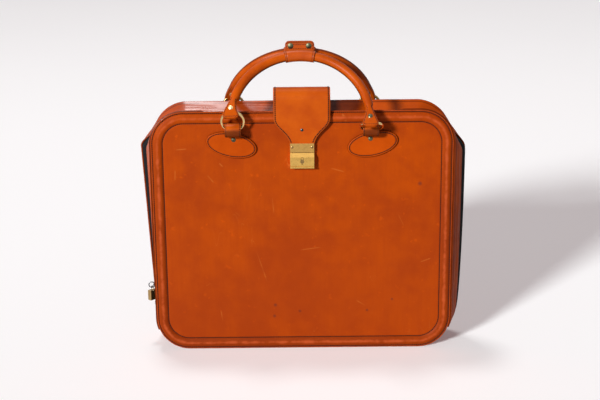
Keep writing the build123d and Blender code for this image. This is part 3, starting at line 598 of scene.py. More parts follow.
def make_panel(side, body, material, node):
    """One leather sheet moulded over the cane of its border."""
    bm = bmesh.new()
    steps = 4 * 22
    bmesh.ops.create_circle(bm, cap_ends=True, segments=steps, radius=corner_radius)
    bmesh.ops.rotate(bm, verts=bm.verts, matrix=Matrix.Rotation(math.pi / steps, 3, "Z"))
    for vert in bm.verts:
        vert.co.x += math.copysign(corner_x, vert.co.x)
        vert.co.y += math.copysign(corner_z - height / 2, vert.co.y)
    long_edges = [e for e in bm.edges if e.calc_length() > corner_radius]
    bmesh.ops.subdivide_edges(bm, edges=long_edges, cuts=36)
    for vert in bm.verts:
        vert.co = Vector((vert.co.x, -panel_back, vert.co.y + height / 2))
    cap = bm.faces[:][0]
    kept = bmesh.ops.extrude_face_region(bm, geom=[cap], use_keep_orig=True)
    cap = [g for g in kept["geom"] if isinstance(g, bmesh.types.BMFace)][0]
    insets = [0.0, 0.35, 1.0, 2.0, 2.8, 3.5]
    roll = 12
    insets += [border_start + (border_end - border_start) * i / roll for i in range(roll + 1)]
    insets += [inner_seam, border_end + 2.0, border_end + 4.0]
    depths = {0.0: half_depth - 0.45, 0.35: half_depth - 0.1, 1.0: half_depth,
              2.0: half_depth - 0.05, 2.8: half_depth - 0.45, 3.5: half_depth - 0.25,
              inner_seam: half_depth - 0.55, border_end + 2.0: half_depth - 0.08,
              border_end + 4.0: half_depth}
    for vert in cap.verts:
        vert.co.y = -depths[0.0]
    seam = bm.verts.layers.float.new("seam")
    wear = bm.verts.layers.float.new("wear")
    for vert in bm.verts:
        vert[seam] = 0.55
    for before, inset in zip(insets, insets[1:]):
        bmesh.ops.inset_region(bm, faces=[cap], thickness=inset - before, use_even_offset=True,
                               use_boundary=True)
        f = depths.get(inset, roll_height(inset))
        for vert in cap.verts:
            ripple = noise.noise(Vector((vert.co.x, vert.co.z, 9.0 * side)) / 26.0)
            swell = 0.30 * ripple if border_start < inset < border_end else 0.0
            vert.co.y = -(f + swell)
            line = min(abs(inset - outer_seam), abs(inset - inner_seam))
            vert[seam] = gathered(line, 0.85, 0.75)
            if border_start < inset < border_end:
                vert[wear] = 1 - abs(2 * (inset - border_start) / (border_end - border_start) - 1)
                # The whole border darkens from the top corners downward.
                low = reached(vert.co.z, corner_z + 25, corner_z - 35)
                vert[seam] = max(vert[seam], 0.06 + 0.20 * low)
            elif inset < 2:
                vert[wear] = 0.8
                vert[seam] = max(vert[seam], 0.3)
            else:
                vert[wear] = 0.0
    if side < 0:
        bmesh.ops.scale(bm, vec=(1, -1, 1), verts=bm.verts)
    bmesh.ops.recalc_face_normals(bm, faces=bm.faces)
    piece = keep(node + "_skin", bm, body, material, 60)
    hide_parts(node, node.replace("panel", "border_core"))


def panel_seams(side, body, name):
    """Both stitch lines of a panel's border."""
    corners = ((-1, -1), (1, -1), (1, 1), (-1, 1))
    for label, inset, sunk in (("outer", outer_seam, 0.35), ("inner", inner_seam, 0.4)):
        radius = corner_radius - inset
        line = []
        for quadrant, (across, up) in enumerate(corners):
            centre_z = height / 2 + up * (corner_z - height / 2)
            for i in range(quarter_steps + 1):
                angle = (quadrant - 2 + i / quarter_steps) * math.pi / 2
                line.append((Vector((across * corner_x + radius * math.cos(angle),
                                     -side * (half_depth - sunk),
                                     centre_z + radius * math.sin(angle))),
                             Vector((0, -side, 0))))
        line = line[quarter_steps:] + line[:quarter_steps + 1]
        length = sum((b[0] - a[0]).length for a, b in zip(line, line[1:]))
        places = evenly(line, length / round(length / stitch_pitch), 0.01)
        sew(f"{name}_{label}_stitches", places, body)


# Gussets and zip


def bulge_share(f):
    """How much of the swell or valley the leather has reached at distance f."""
    u = (panel_back - max(abs(f), tape_half)) / (panel_back - tape_half)
    rate = 4 * mid_share - 1
    return rate * u + (1 - rate) * u * u


def swell(f):
    """Swell of both sides at distance f: left high, left low, right high, right low."""
    edge = front_edge_swell if f > 0 else back_edge_swell
    if abs(f) >= tape_half:
        return [bulge_share(f) * value for value in edge]
    t = reached(abs(f), chain_edge, tape_half)
    return [line + t * (value - line) for line, value in zip(zip_swell, edge)]


def curve(points, t):
    """A point on the curve that a few control points draw."""
    while len(points) > 1:
        points = [a.lerp(b, t) for a, b in zip(points, points[1:])]
    return points[0]


def side_curves(side, f, inset):
    """One side of the gusset's path at distance f, as (start, end, control points) pieces."""
    share = bulge_share(f)
    bulge, low = swell(f)[:2] if side < 0 else swell(f)[2:]
    end_angle = math.asin((corner_radius - zip_end_height) / corner_radius)
    reach = corner_radius + end_bulge * share - inset
    end = Vector((corner_x + reach * math.cos(end_angle),
                  corner_radius - reach * math.sin(end_angle)))
    low_z = corner_radius + (low_height - corner_radius) * share
    drop, shoulder_rise, shoulder_across = shoulders[side]
    high_z = corner_z - drop * share
    along = Vector((bulge - low, high_z - low_z)).normalized()
    away = Vector((along.y, -along.x)) * inset
    low_point = Vector((width / 2 + low, low_z)) - away
    high_point = Vector((width / 2 + bulge, high_z)) - away
    top = Vector((corner_x, height - top_valley * share - inset))
    flank = [low_point, high_point]
    if side > 0:
        belly = low_point + Vector((belly_out * (high_point.x - low_point.x), belly_rise))
        flank = [low_point, belly, high_point - Vector((0, belly_reach)), high_point]
        along = Vector((0, 1))
    start = (flank[1] - flank[0]).normalized()
    tail = [end, low_point - start * (low_point - end).length / 2, low_point]
    rise = (quarter + (shoulder_rise - quarter) * share) * (top.y - high_point.y)
    across = (quarter + (shoulder_across - quarter) * share) * (high_point.x - top.x)
    shoulder = [high_point, high_point + along * rise, top + Vector((across, 0)), top]
    middle = Vector((0, top.y))
    return [(0.0, 0.05, tail), (0.05, 0.55, flank), (0.55, 0.75, shoulder),
            (0.75, 1.0, [top, middle])]


def gusset_run(f, inset=0.0):
    """The gusset's path as a function of 0 to 1, from the lower left end over the top."""
    sides = {side: side_curves(side, f, inset) for side in (-1, 1)}

    def run(u):
        side = -1 if u < 0.5 else 1
        s = min(1.0, max(0.0, 2 * u if u < 0.5 else 2 - 2 * u))
        for first, last, points in sides[side]:
            if s <= last:
                point = curve(points, (s - first) / (last - first))
                break
        return Vector((side * point.x, point.y))

    return run


def even_path(line, inset, f, side, pitch):
    """Evenly spaced (point, along, out) along the gusset's path at distance line, drawn at f."""
    run = gusset_run(line, inset)
    spots = [run(i / 800) for i in range(801)]
    return evenly([(Vector((spot.x, -side * f, spot.y)),
                    Vector((spot.x, 0, spot.y - height / 2))) for spot in spots], pitch)


def way_out(run, u):
    """The way out of the gusset's path at a place on it."""
    ahead = run(u + 0.002) - run(u - 0.002)
    return Vector((-ahead.y, ahead.x)).normalized()


def gusset_skin(side, body, node, mouth):
    """The soft leather between border and zip, with its slump, creases and worn folds."""

    def place(u, v):
        start = panel_back
        here = gusset_run(side * tape_half)(u)
        if mouth and here.y > corner_z:
            open_here = reached(abs(here.x), mouth_half + 5, mouth_half - 5)
            start = panel_back + (mouth_back - panel_back) * open_here
        f = start + (tape_half - start) * v
        run = gusset_run(side * f)
        point = run(u)
        middle = 4 * v * (1 - v)
        long_way = Vector((point.x / 90.0, point.y / 90.0, f / 7.0 + 5 * side))
        crease = noise.noise(long_way) * 1.1 * middle
        puff = noise.noise(Vector((point.x / 38.0, point.y / 38.0, 3.0 + side))) * 0.6 * middle
        spot = point + way_out(run, u) * min(0.3, crease + puff)
        from_border, from_zip = start - f, f - tape_half
        darkening = (gathered(from_border - border_seam, 0.8, 0.6) + gathered(from_border, 0.7, 0.6)
                + gathered(from_zip - zip_seam, 0.8, 0.6) + gathered(from_zip, 0.5, 1.0))
        # Painted shadow: the top is darkened beside the flap's right edge, where the flap's shadow
        # falls.
        if spot.y > corner_z:
            darkening = max(darkening, 0.9 * min(1.0, gathered(spot.x - 56, 1.6, 1 / 8)))
        worn = max(0.0, crease) * 0.8 + (0.5 if v > 0.9 else 0.0)
        return Vector((spot.x, -side * f, spot.y)), darkening, worn

    piece = make_sheet(node + "_skin", 300, 30, place, body, side_leather,
                       turned=side > 0)
    thicken(piece, gusset_leather - 0.2, 0.5)
    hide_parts(node)


def gusset_seams(side, body, node, mouth):
    """The rows of stitches beside the border and beside the zip."""
    places = []
    for f in (panel_back - border_seam, tape_half + zip_seam):
        for point, along, out in even_path(side * f, -0.15, f, side, stitch_pitch):
            if mouth and point.z > corner_z and abs(point.x) < mouth_half + 6:
                continue
            places.append((point, along, out))
    sew(node + "_stitches", places, body)


def tape_skin(side, body, node):
    """The woven strip between a gusset and its coil."""

    def place(u, v):
        f = tape_half + (chain_edge - tape_half) * v
        run = gusset_run(side * f, tape_inset)
        point = run(u)
        wave = noise.noise(Vector((point.x, point.y, f)) / 14.0) * 0.25
        sag = 0.4 * math.sin(math.pi * v)
        spot = point + way_out(run, u) * (wave * math.sin(math.pi * v) - sag)
        return Vector((spot.x, -side * f, spot.y)), 0.0, 0.0

    piece = make_sheet(node + "_skin", 220, 5, place, body, tape_cloth,
                       turned=side > 0)
    thicken(piece, 0.7)
    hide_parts(node)


def coil_teeth(side, body, node):
    """The zip's coil: one rounded loop after another."""
    seed = bmesh.new()
    bmesh.ops.create_cube(seed, size=1.0)
    bmesh.ops.scale(seed, vec=(1.0, 2.6, 2.2), verts=seed.verts)
    bmesh.ops.bevel(seed, geom=seed.edges[:], offset=0.35, segments=1, affect="EDGES",
                    profile=0.5, material=-1)
    moves = [set_down(point + along * (coil_pitch / 4 * side), along, out)
             for point, along, out in even_path(0.0, 1.8, 2.0, side, coil_pitch)
             if point.z >= zip_end_height + 5]
    piece = stamp(node + "_coil", seed, moves, body, coil_finish, 40)
    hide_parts(node)


# Flap


def flap_profile(v):
    """(f, z) of the flap's outer face, from behind the bend, v = 0, to its tip, v = 1."""
    back_run = 1.0
    bend_run = math.pi * flap_bend
    straight = flap_hinge_height + 1 - flap_straight_end
    tongue = flap_straight_end - flap_tip
    s = v * (back_run + bend_run + straight + tongue)
    if s < back_run:
        return flap_back, flap_hinge_height + 0.3 + s
    s -= back_run
    if s < bend_run:
        a = s / flap_bend
        return (flap_back + flap_bend * (1 - math.cos(a)),
                flap_hinge_height + 1 + flap_bend * math.sin(a))
    s -= bend_run
    if s < straight:
        return flap_front, flap_hinge_height + 1 - s
    s -= straight
    return flap_front - flap_lean * s / tongue, flap_straight_end - s


def flap_edge(f, z):
    """Half of the flap's width at a place on its profile."""
    if f < flap_back + flap_bend or z > flap_straight_end + 6:
        return flap_half
    low = flap_tip + 6
    if z < low:
        return flap_tip_half
    t_low, t_high = 0.0, 1.0
    points = ((flap_half, flap_straight_end + 6), (flap_half, flap_straight_end - 12),
              (flap_tip_half + 1, flap_straight_end - 18), (flap_tip_half, low))
    for _ in range(24):
        t = (t_low + t_high) / 2
        x, level = (a * (1 - t) ** 3 + 3 * b * t * (1 - t) ** 2 + 3 * c * t * t * (1 - t)
                    + d * t ** 3 for a, b, c, d in zip(*points))
        if level > z:
            t_low = t
        else:
            t_high = t
    return x


def flap_normal(v):
    """The way out of the flap's outer face at a place on its profile, as (f, z)."""
    f2, z2 = flap_profile(min(1, v + 0.004))
    f1, z1 = flap_profile(max(0, v - 0.004))
    along = Vector((f2 - f1, z2 - z1)).normalized()
    return Vector((-along.y, along.x))


def make_flap():
    """The thick tongue of leather, bent over the top, with its edge turned down and sewn."""

    def place(u, v):
        across = 2 * u - 1
        f, z = flap_profile(v)
        out = flap_normal(v)
        half = flap_edge(f, z)
        x = half * math.copysign(abs(across) ** 0.9, across)
        from_edge = half - abs(x)
        turn_down = -0.45 * gathered(from_edge, 1, 1 / 1.6) ** 2
        groove = -0.28 * gathered(from_edge - flap_seam, 1, 1 / 1.1)
        wave = 0.25 * noise.noise(Vector((x, z, f)) / 30.0) * (1 if v < 0.8 else 0)
        rise = min(0.0, turn_down + groove + wave)
        darkening = gathered(from_edge - flap_seam, 0.5, 0.5) + gathered(from_edge, 0.5, 1)
        worn = gathered(from_edge, 0.7, 0.7 / 2.2) + (0.5 if z > flap_hinge_height + 10 else 0)
        return Vector((x, -(f + out.x * rise), z + out.y * rise)), darkening, worn

    piece = make_sheet("flap_skin", 36, 110, place, "flap", seamed["flap"],
                       turned=True)
    thicken(piece, flap_leather - 0.3, 0.6)
    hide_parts("flap")
    for side, label in ((-1, "left"), (1, "right")):
        places = []
        walked, due = 0.0, 2.0
        last = None
        for i in range(401):
            v = flap_sewn[0] + (flap_sewn[1] - flap_sewn[0]) * i / 400
            f, z = flap_profile(v)
            spot = Vector((side * (flap_edge(f, z) - flap_seam), -f, z))
            step = spot - last if last else Vector()
            if walked + step.length > due:
                along = step.normalized()
                out = flap_normal(v)
                out = Vector((0, -out.x, out.y))
                places.append((spot, along, (out - along * out.dot(along)).normalized()))
                due += stitch_pitch
            walked += step.length
            last = spot
        sew(f"flap_{label}_stitches", places, "flap")


# Rods


def make_rod(name, stations, body, material, around, darkening):
    """A closed rod through stations: (centre, along, out, half width, half thickness, power).

    The power takes the section from an oval, at 2, towards a box.
    """
    rows = len(stations) - 1

    def place(u, v):
        centre, along, out, wide, thick, power = stations[round(v * rows)]
        across = out.cross(along).normalized()
        true_out = along.cross(across).normalized()
        c, s = math.cos(2 * math.pi * u), math.sin(2 * math.pi * u)
        x = wide * math.copysign(abs(c) ** (2 / power), c)
        y = thick * math.copysign(abs(s) ** (2 / power), s)
        return (centre + across * x + true_out * y, *darkening(centre, x, y, wide))

    return make_sheet(name, around, rows, place, body, material, True)


# Patches and loops


def make_patch(label, side, face, body):
    """An oval leather patch with a worn rim, hollowed for the loop, and its stitches."""
    x_ring = side * ring_x[face]
    centre = Vector((x_ring + side * patch_out, patch_height))
    tilt = Matrix.Rotation(math.radians(patch_tilt) * side, 2)

    def surface(angle, share):
        flat = Vector((patch_long * share * math.cos(angle), patch_short * share * math.sin(angle)))
        edge = patch_short * (1 - share) * (1 + (patch_long / patch_short - 1)
                                            * math.cos(angle) ** 2 * 0.55)
        spot = tilt @ flat + centre
        rise = patch_rise - 1.5 * gathered(edge, 1, 1 / 1.7) ** 2
        rise -= gathered(edge - patch_seam, 0.4, 0.4)
        if abs(spot.x - x_ring) < loop_half + 0.8:
            drop = loop_height - spot.y
            if abs(drop) < loop_radius + 0.4:
                free = loop_forward - math.sqrt((loop_radius + 0.4) ** 2 - drop ** 2)
                rise = min(rise, max(0.6, free))
        return spot, rise, edge

    def place(u, v):
        spot, rise, edge = surface(2 * math.pi * u, min(1, v * 1.06))
        if v > 0.97:
            rise = 0.2
        darken_share = gathered(edge - patch_seam, 0.62, 0.5) + gathered(edge, 0.75, 0.6)
        return (Vector((spot.x, -face * (half_depth + rise), spot.y)), darken_share,
                gathered(edge - 2.0, 0.7, 0.5))

    piece = make_sheet(f"{label}_skin", 96, 34, place, body, seamed["patch"], True)
    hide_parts(label)
    line = []
    for i in range(721):
        angle = math.pi / 2 + 2 * math.pi * i / 720
        flat = Vector(((patch_long - patch_seam) * math.cos(angle),
                       (patch_short - patch_seam) * math.sin(angle)))
        spot = tilt @ flat + centre
        if abs(spot.x - x_ring) < loop_half + 1 and spot.y > patch_height + 8:
            continue
        line.append((Vector((spot.x, -face * (half_depth + patch_rise - 0.25), spot.y)),
                     Vector((0, -face, 0))))
    split = max(range(len(line) - 1), key=lambda i: (line[i + 1][0] - line[i][0]).length)
    line = line[split + 1:] + line[:split + 1]
    sew(f"{label}_stitches", evenly(line, fine_pitch), body, 2.9, 1.9)


def make_loop(label, side, face, body):
    """The strap round a ring: up from under the patch, round the ring and down behind."""
    x_ring = side * ring_x[face]
    # Up from under the patch, as (f, z)
    path = [(48.7, 374.5), (48.7, 379.5), (48.8, 383.0), (49.8, 385.2), (51.8, 386.0)]
    centre_f = half_depth + loop_forward
    for i in range(41):
        angle = math.radians(252 + 300 * i / 40)
        tall = loop_radius if math.sin(angle) > 0 else loop_under
        path.append((centre_f + loop_radius * math.cos(angle),
                     loop_height + tall * math.sin(angle)))
    rows = len(path) - 1

    def place(u, v):
        i = round(v * rows)
        f, z = path[i]
        before, after = path[max(0, i - 1)], path[min(rows, i + 1)]
        along = Vector((after[0] - before[0], after[1] - before[1])).normalized()
        out = Vector((along.y, -along.x))
        x = (2 * u - 1) * loop_half
        edge = loop_half - abs(x)
        dip = -0.35 * gathered(edge - loop_seam, 1, 1 / 0.9) - 0.5 * gathered(edge, 1, 1 / 1.2) ** 2
        dip += 0.18 * noise.noise(Vector((x, f * 2, z)) / 9.0)
        dip = min(0, dip)
        darken_share = gathered(edge - loop_seam, 0.5, 0.6) + gathered(edge, 0.7, 0.7)
        # Painted shade: the strap darkens where its face turns forward and down, away from the
        # light.
        darken_share = max(darken_share, 0.72 * reached(out.y, 0.45, 0.10))
        return (Vector((x_ring + x, -face * (f + out.x * dip), z + out.y * dip)), darken_share,
                gathered(edge, 0.6, 0.24))

    piece = make_sheet(f"{label}_skin", 24, rows, place, body,
                       seamed["strap"], turned=face < 0)
    thicken(piece, 1.9, 0.4)
    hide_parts(label)
    for hand in (-1, 1):
        line = []
        for (f, z), (f2, z2) in zip(path[6:], path[7:]):
            out = Vector((f - centre_f, z - loop_height)).normalized()
            line.append((Vector((x_ring + hand * (loop_half - loop_seam),
                                 -face * (f - out.x * 0.2), z - out.y * 0.2)),
                         Vector((0, -face * out.x, out.y))))
        sew(f"{label}_stitches_{'a' if hand < 0 else 'b'}", evenly(line, fine_pitch), body,
            2.5, 1.1)


# Handles and grips


class Handle:
    """The centre line of a rolled handle with its two flared ends."""

    def __init__(self, face, rise, radius, ends):
        self.face = face
        self.radius = radius
        self.apex = loop_height + rise
        self.ends = ends
        self.neck = neck_half if face > 0 else tube_radius
        bars = [self.bar(lean) for _, lean, _ in ends]
        slope = (-bars[0].y - apex_forward) / (self.apex - bars[0].z)
        length = math.hypot(1, slope)
        self.up = Vector((0, slope, 1)) / length
        self.out = Vector((0, -1, slope)) / length
        drops = [(self.apex - bar.z) * length + end[2] - flare_length
                 for bar, end in zip(bars, ends)]
        lifts = [math.asin((radius - drop) / radius) for drop in drops]
        self.first = math.pi - lifts[0]
        self.last = lifts[1]

    def bar(self, lean):
        """The far bar of a ring, on which a handle's eye sits."""
        lean = math.radians(lean)
        return Vector((0, -(half_depth + loop_forward + 2 * ring_radius * math.sin(lean)),
                       loop_height + 2 * ring_radius * math.cos(lean)))

    def arc(self, angle, out=0.0, rise=0.0):
        """A point by the arc: centre line, moved along the handle's normal and outward."""
        reach = self.radius + rise
        return (Vector((handle_shift + reach * math.cos(angle), -apex_forward, self.apex))
                + self.up * (reach * math.sin(angle) - self.radius) + self.out * out)

    def arc_station(self, angle, half=tube_radius):
        along = Vector((math.sin(angle), 0, 0)) - self.up * math.cos(angle)
        return self.arc(angle), along, self.out, half, half, 2.0

    def end_stations(self, index):
        """Sections of one end, from its tip up to the arc, all pointing up."""
        x, lean, eye = self.ends[index]
        bar = self.bar(lean) + Vector((x + handle_shift, 0, 0))
        angle = (self.first, self.last)[index]
        meet, along, _, _, _, _ = self.arc_station(angle)
        climb = along if index == 0 else -along
        rise = Vector((0, meet.y - bar.y, meet.z - bar.z)).normalized()
        out = Vector((1, 0, 0)).cross(rise)
        stations = []

        def tip(s, share, thick):
            bow = max(0.0, flare_round - s)
            wide = flare_half - flare_round + math.sqrt(flare_round ** 2 - bow ** 2)
            stations.append((bar + rise * (s - eye), rise, out, max(0.02, wide * share),
                             max(0.02, flare_thick / 2 * thick), 7.0))

        # Distance from the tip, share of the width, share of the thickness
        for s, share, thick in ((0, 0, 0), (0, 0.5, 0.4), (0, 0.93, 0.66), (0.25, 1, 0.82),
                                (0.8, 1, 0.93), (1.6, 1, 0.97), (2.6, 1, 1), (4.2, 1, 1),
                                (5.8, 1, 1), (flare_straight, 1, 1)):
            tip(s, share, thick)
        start = bar + rise * (flare_straight - eye)
        pull = (flare_length - flare_straight) * 0.36
        points = [start, start + rise * pull, meet - climb * pull, meet]
        for i in range(1, 17):
            t = i / 16
            here = curve(points, t)
            ahead = (curve(points, min(1, t + 0.01)) - curve(points, t - 0.01)).normalized()
            grow = eased(reached(t, 0.30, 1.0))
            spread = max(0, 1 - t / neck_at) ** 1.35
            wide = (self.neck + (flare_half - self.neck) * spread
                    + (tube_radius - self.neck) * eased(reached(t, neck_at, 1.0)))
            thick = flare_thick / 2 + (tube_radius - flare_thick / 2) * grow
            facing = out.lerp(self.out, t).normalized()
            stations.append((here, ahead, facing, wide, thick, 2.0 + 5.0 * (1 - t) ** 1.6))
        return stations

    def mirrored(self, vector):
        return Vector((vector.x, vector.y * self.face, vector.z))

    def flipped(self, stations):
        flip = self.mirrored
        return [(flip(c), flip(a), flip(o), w, h, p) for c, a, o, w, h, p in stations]

    def stations(self):
        first, last = self.end_stations(0), self.end_stations(1)
        steps = 72
        arc = [self.arc_station(self.first + (self.last - self.first) * i / steps)
               for i in range(1, steps)]
        return self.flipped(
            first + arc + [(c, -a, o, w, h, p) for c, a, o, w, h, p in reversed(last)])


def flare_line(handle, index, face_out):
    """The stitch line round a flared end: down one edge, across the tip and up the other."""
    sections = handle.end_stations(index)

    def spot(section, share):
        centre, along, out, wide, thick, power = section
        across = out.cross(along).normalized()
        true_out = along.cross(across).normalized()
        x = share * (wide - flare_seam)
        level = thick * max(0.05, 1 - abs(x / wide) ** power) ** (1 / power) - 0.12
        return (handle.mirrored(centre + across * x + true_out * level * face_out),
                handle.mirrored(true_out * face_out))

    side_rows = sections[6:23]
    down = [spot(section, -1) for section in reversed(side_rows)]
    low = sections[6]
    turn = [spot(low, k / 5) for k in range(-4, 5)]
    up = [spot(section, 1) for section in side_rows]
    return down + turn + up


def make_handle(label, handle, body):
    """The rolled leather tube with its flares, the seam under it and its stitches."""

    def darkening(centre, x, y, wide):
        if wide > tube_radius + 0.3:
            edge = wide - abs(x)
            return (gathered(edge - flare_seam, 0.5, 0.5) + gathered(edge, 0.6, 1),
                    gathered(edge, 0.5, 0.5 / 3))
        return (max(0.0, 0.75 - (x + tube_radius) * 1.1) if x < 0 else 0.0,
                0.35 if x > tube_radius * 0.6 else 0.0)

    piece = make_rod(f"{label}_skin", handle.stations(), body, seamed["handle"],
                     32, darkening)
    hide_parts(label, f"{label}_core")
    places = []
    for index in (0, 1):
        for face_out in (1, -1):
            places += evenly(flare_line(handle, index, face_out), flare_pitch)
    steps = 160
    gap = math.asin(grip_half / handle.radius) + 0.01
    for low, high in ((handle.last, math.pi / 2 - gap), (math.pi / 2 + gap, handle.first)):
        line = []
        for i in range(steps + 1):
            angle = low + (high - low) * i / steps
            inward = handle.arc(angle) - handle.arc(angle, 0.0, 1.0)
            line.append((handle.mirrored(handle.arc(angle, 0.0, -tube_radius + 0.1)),
                         handle.mirrored(inward)))
        places += evenly(line, tube_pitch)
    sew(f"{label}_stitches", places, body, 2.8, 1.25)


def make_fin(label, handle, body):
    """The upright fin on a grip. Gives the places of its stitches."""
    flip = handle.mirrored
    wide = grip_half - 0.5
    top = handle.apex + fin_rise
    foot = handle.apex + 11
    middle = -(fin_back + fin_thick / 2)
    rows = []
    # Distance from the top, share of the width, share of the thickness
    for drop, share, thick in ((0, 0, 0), (0, 0.5, 0.4), (0, 0.96, 0.7), (0.2, 1, 0.88),
                               (0.6, 1, 1), (1.2, 1, 1), (2.2, 1, 1), (3.2, 1, 1), (4.6, 1, 1),
                               (fin_round, 1, 1), (9, 1, 1), (13, 1, 1), (17, 1, 1), (21, 1, 1),
                               (25, 1, 1), (25, 0, 0)):
        bow = max(0.0, fin_round - drop)
        half = wide - fin_round + math.sqrt(fin_round ** 2 - bow ** 2)
        rows.append((flip(Vector((handle_shift, middle, top - drop))), Vector((0, 0, -1)),
                     flip(Vector((0, -1, 0))), max(0.02, half * share),
                     max(0.02, fin_thick / 2 * thick), 9.0))

    def darkening(centre, x, y, half):
        edge = min(half - abs(x), top - centre.z)
        return (gathered(edge - fin_seam, 0.5, 0.5) + gathered(edge, 0.6, 0.8),
                gathered(edge, 0.6, 0.24))

    make_rod(f"{label}_fin", rows, body, seamed["grip"], 44, darkening)
    inner, corner = wide - fin_seam, fin_round - fin_seam
    outline = [(-inner, foot)]
    for side, start in ((-1, math.pi), (1, math.pi / 2)):
        for i in range(9):
            angle = start - math.pi / 2 * i / 8
            outline.append((side * (inner - corner) + corner * math.cos(angle),
                            top - fin_seam - corner + corner * math.sin(angle)))
    outline += [(inner, foot), (-inner, foot)]
    places = []
    for face_out in (1, -1):
        f = middle - face_out * (fin_thick / 2 - 0.1)
        out = flip(Vector((0, -face_out, 0)))
        places += evenly([(flip(Vector((handle_shift + x, f, z))), out) for x, z in outline],
                         fine_pitch)
    return places


def make_grip(label, handle, body):
    """The sleeve round a handle's middle with its fin and all their stitches."""
    flip = handle.mirrored
    reach = math.asin(grip_half / handle.radius)
    top_angle = math.pi / 2
    # Distance from the sleeve's end, radius
    hem = ((0, 0.02), (0, tube_radius - 1), (0, grip_radius - 0.55), (0.4, grip_radius - 0.15),
           (1.1, grip_radius), (2.6, grip_radius), (hem_seam, grip_radius - 0.35),
           (hem_end, grip_radius))
    first, last = ([handle.arc_station(top_angle + end * (reach - back / handle.radius), half)
                    for back, half in hem] for end in (1, -1))
    plain = [handle.arc_station(top_angle + (reach - hem_end / handle.radius) * (1 - i / 12),
                                grip_radius) for i in range(1, 24)]

    def darkening(centre, x, y, wide):
        from_end = grip_half - abs(centre.x - handle_shift)
        return (gathered(from_end, 0.8, 0.6) + gathered(from_end - hem_seam, 0.5, 1),
                0.5 if x > grip_radius * 0.5 else 0.0)

    sleeve = make_rod(f"{label}_sleeve", handle.flipped(first + plain + last[::-1]), body,
                      seamed["grip"], 40, darkening)
    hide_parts(label)
    places = make_fin(label, handle, body)
    for end in (1, -1):
        angle = top_angle + end * (reach - hem_seam / handle.radius)
        centre, along, out_way, _, _, _ = handle.arc_station(angle)
        across = out_way.cross(along)
        ring = []
        for i in range(61):
            turn = 2 * math.pi * i / 60
            way = across * math.cos(turn) + out_way * math.sin(turn)
            ring.append((flip(centre + way * (grip_radius - 0.3)), flip(way)))
        places += evenly(ring, hem_pitch)
    sew(f"{label}_stitches", places, body, 2.5, 0.95)


def paint(material, *names):
    """Give CAD nodes that stay a finish."""
    for name in names:
        for place in nodes[name].material_slots:
            place.material = material


# Making the scene

make_camera()
# The azimuth is counted from the front to the right
azimuth, elevation = math.radians(-35.0), math.radians(19.0)
flat = math.cos(elevation)
key_away = Vector((math.sin(azimuth) * flat, -math.cos(azimuth) * flat, math.sin(elevation)))
make_light("key", "SUN", (0, 0, 0), key_away, 5.1, angle=math.radians(9.0),
           color=(0.96, 1.0, 1.0))
lamp_spot = Vector((-0.75, 1.25, 5.80))
make_light("overhead", "AREA", lamp_spot, lamp_spot - Vector((0, 0, 0.22)), 96.0, shape="SQUARE",
           size=1.00)

world = bpy.data.worlds.new("world")
bpy.context.scene.world = world
world.use_nodes = True
sky = Nodes(world.node_tree)
glossy = sky.make("ShaderNodeLightPath", output="Is Glossy Ray")
seen = sky.make("ShaderNodeLightPath", output="Is Camera Ray")
direction = sky.make("ShaderNodeTexCoord", output="Generated")
climb = sky.make("ShaderNodeSeparateXYZ", None, {0: direction}, 2)
sheen = glossy * sky.make("ShaderNodeMapRange", None, {
    "Value": climb, "From Min": 0.05, "From Max": 0.75, "To Min": 0.50, "To Max": 1.00})
strength = seen.math("MAXIMUM", seen.math("MAXIMUM", sheen, seen), 0.14)
light = sky.make("ShaderNodeBackground", None, {"Color": (1.0, 0.985, 0.99, 1),
                                                "Strength": strength})
world_output = sky.tree.nodes.new("ShaderNodeOutputWorld")
sky.tree.links.new(light.socket, world_output.inputs[0])

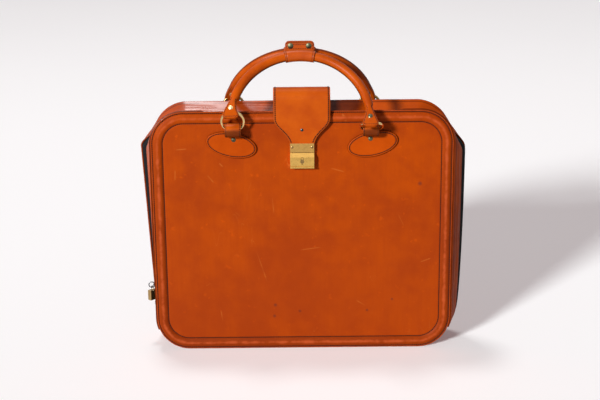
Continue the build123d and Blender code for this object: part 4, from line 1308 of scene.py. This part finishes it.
floor_finish = Finish("floor", Roughness=0.95, Specular_IOR_Level=0.0,
                      Emission_Color=(0.170, 0.125, 0.130, 1))
floor_tone = floor_finish.noise(1.3, 2.0)
floor_finish.set(
    Base_Color=floor_finish.mix(floor_tone, (0.86, 0.86, 0.86), (0.87, 0.87, 0.87)),
    Emission_Strength=floor_finish.make("ShaderNodeLightPath", output="Is Camera Ray"))
bm = bmesh.new()
bmesh.ops.create_grid(bm, x_segments=1, y_segments=1, size=15)
bmesh.ops.translate(bm, verts=bm.verts, vec=(0, 5, -0.0003))
floor_mesh = bpy.data.meshes.new("floor")
bm.to_mesh(floor_mesh)
bm.free()
floor_mesh.materials.append(floor_finish.material)
floor = put("floor", floor_mesh)

handle_shapes = {
    "front": (119.0, 116.0, ((-116.0, 21.0, 11.7), (116.0, 60.0, 7.5))),
    "back": (122.5, 125.5, ((-120.0, 3.0, 11.7), (120.0, 3.0, 11.7))),
}
# Front rings in ring brass; the back rings get the dark brass as painted shade.
for face, label, panel_finish, ring_brass_and_shade in ((1, "front", front_leather, ring_brass),
                                               (-1, "back", back_leather, dark_and_shaded_brass)):
    shell = f"{label}_shell"
    make_panel(face, shell, panel_finish, f"{label}_panel")
    panel_seams(face, shell, f"{label}_panel")
    gusset_skin(face, shell, f"{label}_gusset", face > 0)
    gusset_seams(face, shell, f"{label}_gusset", face > 0)
    tape_skin(face, shell, f"{label}_zip_tape")
    coil_teeth(face, shell, f"{label}_zip_chain")
    for side, hand in ((-1, "left"), (1, "right")):
        make_patch(f"{label}_{hand}_patch", side, face, shell)
        make_loop(f"{label}_{hand}_loop", side, face, shell)
        paint(ring_brass_and_shade, f"{label}_{hand}_ring")
    handle = Handle(face, *handle_shapes[label])
    make_handle(f"{label}_handle", handle, f"{label}_handle")
    make_grip(f"{label}_grip", handle, f"{label}_handle")
    paint(rivet_brass, f"{label}_handle_rivets")
    paint(aged_brass, f"{label}_patch_rivets", f"{label}_snaps")
    paint(slider_black, f"{label}_zip_stops")
    paint(board_finish, f"{label}_board")
make_flap()
paint(brass, "lock_base", "lock_case", "key_cover_pin")
paint(hasp_brass, "hasp")
paint(padlock_brass, "padlock_body")
paint(dark_and_shaded_brass, "key_cover", "hasp_rivets")
paint(base_leather, "flap_base", "bottom_gusset")
paint(board_finish, "bottom_board")
paint(lining_cloth, "pocket_wall", "back_lining")
paint(steel, "padlock_shackle")
paint(dark_steel, "pull_ring")
paint(slider_black, "flap_stud", "upper_slider", "lower_slider", "slider_pull")

bpy.context.scene.view_settings.view_transform = "Standard"
